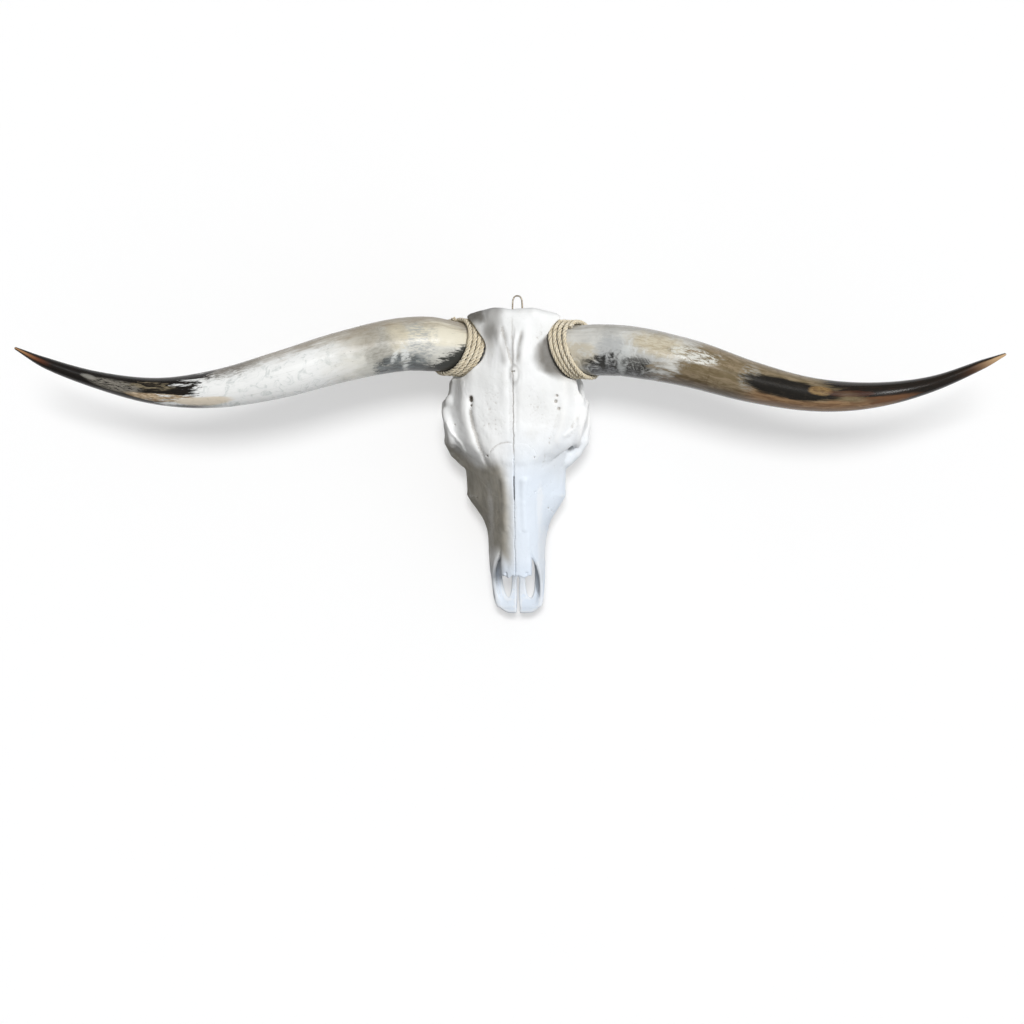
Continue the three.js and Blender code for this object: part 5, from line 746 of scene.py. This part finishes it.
def horn_brown_material():
    m, b = material("horn_brown")
    al, hi = attr("along"), attr("hi")
    g = shifted(attr("grain", True), (900.0, 30.0, 11.0))
    n1, n2, n3, n4, hair, n5 = horn_noises(g)
    c = mix(ramp(n3, 0.40, 0.62), srgb("dddcd6"), srgb("c4c4c0"))
    c = mix(blob(al, hi, 40, 22, -0.25, 0.45, n3)*0.7, c, srgb("cfc5ae"))
    c = mix(ramp(n5, 0.50, 0.64)*0.5, c, srgb("e4e6e4"))
    c = mix(blob(al, hi, 78, 18, -0.05, 0.5, n4, 1.4, 0.8)*0.45, c, srgb("9aa0a6"))
    c = mix(blob(al, hi, 135, 34, 0.40, 0.46, n5, 1.4, 0.8)*0.75, c, mix(ramp(n4, 0.45, 0.6), srgb("cdc2a6"), srgb("b3a27f")))
    # warm grey along the upper side, partly the horn's colour and partly painted shade
    c = mix(ramp(hi + (n2 - .5)*0.9, 0.55, 1.0)*0.6, c, srgb("8a8274"))
    low = ramp(hi + (n5 - 0.5)*2.0 + (n4 - .5)*0.5 + gauss(al, 78, 22)*(-0.25), -0.34, -0.84)*ramp(al + (n4 - .5)*40, 150, 120)*ramp(al + (n4 - .5)*16, 32, 54)
    c = mix(low*0.95, c, mix(ramp(n5 + n4, 0.92, 1.16), srgb("1d1c19"), srgb("6f7173")))
    c = mix(blob(al, hi - (al - 95)*0.03, 95, 8, -0.35, 0.5, n4, 1.4, 0.6)*0.6, c, srgb("dadddb"))
    c = mix(blob(al, hi, 112, 18, -0.50, 0.28, n5, 1.7, 0.8)*ramp(n4, 0.36, 0.50)*0.80, c, srgb("34332f"))
    c = mix(blob(al, hi, 17, 5, 0.12, 0.2, n4, 0.4)*0.8, c, srgb("5f676b"))
    c = mix(blob(al, hi, 22, 5, -0.12, 0.2, n4, 0.4)*0.8, c, srgb("6c7478"))
    c = mix(blob(al, hi, 31, 2.5, -0.30, 0.09, n4, 0.3)*0.9, c, srgb("53442f"))
    # turns to caramel
    edge = al + (n1 - 0.5)*120 + (n2 - 0.5)*80 - hi*26
    brown = ramp(edge, 146, 182)
    tan = mix(ramp(n2, 0.40, 0.66), srgb("75674c"), srgb("93836a"))
    tan = mix(ramp(n5, 0.50, 0.70)*0.55, tan, srgb("5a4a33"))
    tan = mix(ramp(hi + (n2 - .5)*0.8, -0.45, -0.95)*0.8, tan, srgb("4a3823"))
    c = mix(brown, c, tan)
    c = mix(blob(al, hi, 176, 30, 0.30, 0.34, n4, 1.1, 0.3)*ramp(n4, 0.42, 0.55)*0.9, c, srgb("e2e2da"))
    c = mix(blob(al, hi, 247, 15, 0.1, 0.7, n4, 1.2, 0.3)*ramp(n4, 0.44, 0.56)*0.75, c, srgb("a5a39b"))
    c = mix(ramp(hi + (n1 - .5)*1.0, -0.25, -0.6)*ramp(al, 232, 270)*ramp(al, 470, 420)*0.92, c, mix(ramp(n2, 0.42, 0.62), srgb("7d5f44"), srgb("9a7a58")))
    band = blob(al, hi, 300, 62, 0.02, 0.52, n2, 0.55, 0.35)
    c = mix(band*0.97, c, mix(ramp(n4, 0.5, 0.66), srgb("0b0a09"), srgb("1f1b16")))
    dark = ramp(al + (n1 - 0.5)*70 + (n2 - .5)*70 + hi*52, 362, 392)
    c = mix(dark*0.97, c, mix(ramp(n4, 0.48, 0.66), srgb("0b0705"), srgb("27170f")))
    c = mix(dark*blob(al, hi, 392, 60, -0.55, 0.36, n2, 0.7)*0.85, c, srgb("775338"))
    c = mix(blob(al, hi, 335, 15, 0.20, 0.28, n2, 0.7, 0.4)*0.9, c, mix(ramp(n4, 0.44, 0.6), srgb("94794f"), srgb("6e5537")))
    c = mix(blob(al, hi, 372, 30, 0.12, 0.22, n2, 0.9, 0.3)*0.6, c, srgb("4e2c1c"))
    # painted light through the tip, as on the pale horn
    c = mix(ramp(hi + (n2 - .5)*1.2, 0.62, 0.2)*ramp(al, 500, 560)*ramp(al, 588, 570)*0.92, c, mix(ramp(al, 520, 566), srgb("6e4a33"), srgb("cdab82")))
    c = mix(ramp(hair, 0.58, 0.72)*0.18, c, srgb("3f3123"))
    rough = 0.13 + n2*0.13 + ramp(al, 120, 10)*0.16
    feed(b, c, rough, hair*0.5 + n2*0.5, 0.0004, 0.2)
    b.inputs["Specular IOR Level"].default_value = 0.35
    b.inputs["Coat Weight"].default_value = 0.16; b.inputs["Coat Roughness"].default_value = 0.10
    return m
def rope_material():
    m, b = material("rope")
    tw = attr("twist", True); p = place_()
    fib = fbm(scaled(tw, (0.55, 3.4, 1.0)), 1.0, 4, 0.65, 0.3); big = fbm(p, 60, 3, 0.5)
    c = mix(ramp(fib, 0.34, 0.60), srgb("e2cd9f"), srgb("fff6e0"))
    c = mix(ramp(big, 0.45, 0.7)*0.6, c, srgb("fff6e2"))
    c = mix(ramp(fbm(scaled(tw, (1.4, 6.0, 1.0)), 1.0, 3, 0.6), 0.60, 0.72)*0.35, c, srgb("9d8355"))
    # painted shade between the strands
    c = mix(attr("strand_gap_shade")*0.55, c, srgb("765e39"))
    feed(b, c, 0.80 + big*0.15, fib, 0.0012, 0.9)
    b.inputs["Sheen Weight"].default_value = 0.2
    return m
def wire_material():
    m, b = material("wire")
    p = place_(); n = fbm(p, 300, 4, 0.6); n2 = fbm(scaled(p, (1, 0.15, 1)), 1400, 3, 0.6)
    c = mix(ramp(n, 0.42, 0.62), srgb("a79f90"), srgb("7a6e5c"))
    c = mix(ramp(n, 0.62, 0.72)*0.6, c, srgb("5b4330"))
    b.inputs["Metallic"].default_value = 1.0
    feed(b, c, 0.30 + n*0.25, n2, 0.0002, 0.3)
    return m
def floor_material():
    m, b = material("floor")
    n = fbm(place_(), 3, 2, 0.5)
    feed(b, mix(n*0.2, (0.93, 0.93, 0.93, 1), (0.90, 0.90, 0.905, 1)), 0.9 + n*0.05)
    b.inputs["Specular IOR Level"].default_value = 0.1
    return m

BONE, PALE, BROWN, ROPE, WIRE = bone_material(), horn_pale_material(), horn_brown_material(), rope_material(), wire_material()
def finish_piece(ob, mat, node, slot):
    ob.data.materials.clear(); ob.data.materials.append(mat)
    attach(ob, "root"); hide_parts(node)
def shade(x, v, z):
    """Painted shade: grey on the left of the poll and on the rim behind the left rope, in the folds over the boss and
    round it, along the left brow groove, and the painted shadow of the right rope on the bone beside the right horn.
    """
    cloud = noise(x/11, v/13, z/13, 51) + 0.5*noise(x/4, v/5, z/5, 52)
    # painted shade: grey on the left of the poll
    far = ((x + 25.5)/12.5)**2 + (np.maximum(354 - v, 0)/19)**2 + 0.30*cloud
    a = 0.66*np.exp(-np.maximum(far, 0)**2)
    # painted shade on the dark rim behind the left rope
    a = np.maximum(a, 0.92*step01(-x + 2.5*cloud, 27, 41)*step01(v + 3*cloud, 355, 370))
    # painted shadow of the right rope on the bone beside it
    edge, wide = curve([[298,56],[306,51],[317,46.3],[328,43.6],[338,42.5],[349,43.6]], v), curve([[292,8],[298,18],[306,27],[317,27],[328,22],[338,13],[349,4]], v)
    t = np.clip((x - edge + wide + 1.8*cloud)/(wide*0.70), 0, 1)
    a = np.maximum(a, 0.93*t*t*(3 - 2*t)*step01(v, 288, 304)*step01(-v, -352, -340))
    # painted shade along the left brow groove
    a = np.maximum(a, 0.36*hill(line_dist(x, v, GROOVE_L) + 0.8*cloud, 2.4)*step01(v, 230, 242)*step01(-v, -262, -252))
    long_ = step01(v, 304, 318)*step01(-v, -356, -342)
    wig = 0.9*noise(v/7.5, v*0, v*0, 41)
    # painted shade in the grooves and along the ridge over the boss
    a = np.maximum(a, 0.38*hill(x + 9.7, 4.2)*long_)
    a = np.maximum(a, 0.50*hill(x - 8.2 - (v - 330)*0.16 - wig, 2.6)*long_)
    a = np.maximum(a, 0.34*hill(x - 2.2 - wig, 1.2)*step01(v, 308, 320)*step01(-v, -362, -350))
    # painted shade round the edge of the boss
    ring = np.abs(np.sqrt(((x - 2.4)/5.2)**2 + ((v - 298.6)/11)**2) - 1)
    a = np.maximum(a, (0.46 + 0.25*cloud)*hill(ring + 0.10*cloud, 0.24)*step01(x, -7, 1))
    return np.clip(a, 0, 1)*step01(z, 78, 96)
for name, (P, Q) in bones.items():
    # how deep a place lies in a hollow, from the field a little way out along x, v and z; hollow, fold and shade become
    # painted shade in the bone's colour, and fold also a painted highlight on ridges
    W = warp(P)
    ob = build("bone_" + name, to_part(W), Q)
    ax = np.abs(P[:, 0])
    inner = np.minimum(curve(MID_HALF, P[:, 1]) - 3.5, 26) - ax   # how far inside the side wall
    # painted shade inside the nose cavity
    nose_cavity_shade = step01(inner, 0, 3)*step01(-P[:, 1], -190, -170)*step01(curve(ROOF_Z, P[:, 1]) - P[:, 2], 14, 22)*step01(P[:, 1], 60, 100)*step01(P[:, 2], 34, 38)
    hollow = nose_cavity_shade
    for hx, hv, hr, hd in HOLES:
        hollow = np.maximum(hollow, hill(np.sqrt((P[:, 0] - hx)**2 + (P[:, 1] - hv)**2), hr*0.9)*(P[:, 2] > 60)*min(1, hd/5))
    seam = hill(P[:, 0] - suture_x(P[:, 1]), 0.8)*step01(P[:, 1], 196, 206)*step01(-P[:, 1], -374, -355)*(P[:, 2] > 110)
    arch = np.abs(P[:, 1] - curve(NASAL_END, ax) - 0.8)
    seam = np.maximum(0.45*seam, 0.5*hill(arch, 0.8)*(P[:, 0] < -3)*(P[:, 0] > -27)*(P[:, 2] > 100)*(P[:, 1] > 195))
    # less painted shade and highlight from the fold over thin walls and beside the left rope
    thin = step01(-P[:, 1], -200, -180)*step01(40 - ax, 0, 6)*step01(P[:, 2] - curve(ROOF_Z, P[:, 1]), -24, -14)
    by_rope = step01(-P[:, 0], 28, 36)*step01(P[:, 1], 304, 314)*step01(-P[:, 1], -356, -346)*(P[:, 2] > 90)
    attribute(ob, "hollow", np.clip(hollow + seam, 0, 1)); attribute(ob, "fold", fold(P)*(1 - 0.85*thin)*(1 - 0.8*by_rope))
    attribute(ob, "shade", shade(P[:, 0], P[:, 1], P[:, 2]))
    finish_piece(ob, BONE, name, "bone")
for nm, L, start, mat in (("horn_left", LEFT, START_LEFT, PALE), ("horn_right", RIGHT, START_RIGHT, BROWN)):
    finish_piece(horn("fine_" + nm, L, start), mat, nm, "horn_pale" if nm == "horn_left" else "horn_brown")
finish_piece(rope("fine_rope_left", LEFT, ROPE_LEFT), ROPE, "rope_left", "rope")
finish_piece(rope("fine_rope_right", RIGHT, ROPE_RIGHT), ROPE, "rope_right", "rope")
finish_piece(wire("fine_hanger_wire"), WIRE, "hanger_wire", "wire")

# ------------------------------------------------------------------ floor, light, camera
bpy.ops.mesh.primitive_plane_add(size=9, location=(0, 0, 0)); floor = bpy.context.object; floor.name = "floor"; floor.data.materials.append(floor_material())
sc = bpy.context.scene
world = bpy.data.worlds.new("soft"); sc.world = world; world.use_nodes = True
wt = world.node_tree; W = {n: wt.nodes.new("ShaderNode" + n) for n in ("TexCoord", "SeparateXYZ", "MapRange", "Mix")}   # a dim warm left and a bright cool right
W["Mix"].data_type = "RGBA"; W["MapRange"].interpolation_type = "SMOOTHSTEP"; W["MapRange"].inputs[1].default_value, W["MapRange"].inputs[2].default_value = -0.9, 0.9
W["Mix"].inputs[6].default_value, W["Mix"].inputs[7].default_value = (0.235, 0.230, 0.220, 1), (0.345, 0.352, 0.362, 1)
wt.links.new(W["TexCoord"].outputs["Generated"], W["SeparateXYZ"].inputs[0]); wt.links.new(W["SeparateXYZ"].outputs[0], W["MapRange"].inputs[0])
wt.links.new(W["MapRange"].outputs[0], W["Mix"].inputs[0]); wt.links.new(W["Mix"].outputs[2], wt.nodes["Background"].inputs[0]); wt.nodes["Background"].inputs[1].default_value = 1.0
floor.visible_diffuse = False
on_floor = bpy.data.collections.new("on_floor"); on_floor.objects.link(floor)
off_floor = bpy.data.collections.new("off_floor"); off_floor.objects.link(floor); off_floor.collection_objects[0].light_linking.link_state = "EXCLUDE"
def lamp(name, kind, place, aim, size, power, color, receivers, shadow=True):
    L = bpy.data.lights.new(name, kind); L.energy = power; L.color = color; L.use_shadow = shadow
    if kind == "AREA": L.shape = "DISK"; L.size = size
    else: L.angle = size
    o = bpy.data.objects.new(name, L); sc.collection.objects.link(o); o.location = place
    o.rotation_euler = (Vector(aim) - Vector(place)).to_track_quat("-Z", "Y").to_euler()
    o.light_linking.receiver_collection = receivers
    return o
lamp("overhead", "AREA", (0.05, 0.75, 2.6), (0, 0.0, 0.1), 0.8, 9, (1.0, 1.0, 1.0), off_floor)
lamp("key", "SUN", (1.38, 0.50, 2.45), (0, 0, 0), 0.34, 2.25, (1.0, 1.0, 1.0), off_floor)
lamp("floor_soft", "SUN", (0, 0.8, 3), (0, 0, 0), 0.26, 1.20, (1, 1, 1), on_floor)
lamp("floor_fill", "SUN", (0, 0, 3), (0, 0, 0), 0.5, 1.33, (1, 1, 1), on_floor, False)
sc.view_settings.view_transform = "Standard"; sc.view_settings.look = "None"

F_PX, HIGH = 2484.0, 3200.0
cam = bpy.data.cameras.new("camera"); cam.sensor_width = 36; cam.lens = F_PX/1024*36; cam.clip_end = 20
co = bpy.data.objects.new("camera", cam); sc.collection.objects.link(co); sc.camera = co
co.location = (2.4*SIZE*MM, -70.3*SIZE*MM, HIGH*SIZE*MM)
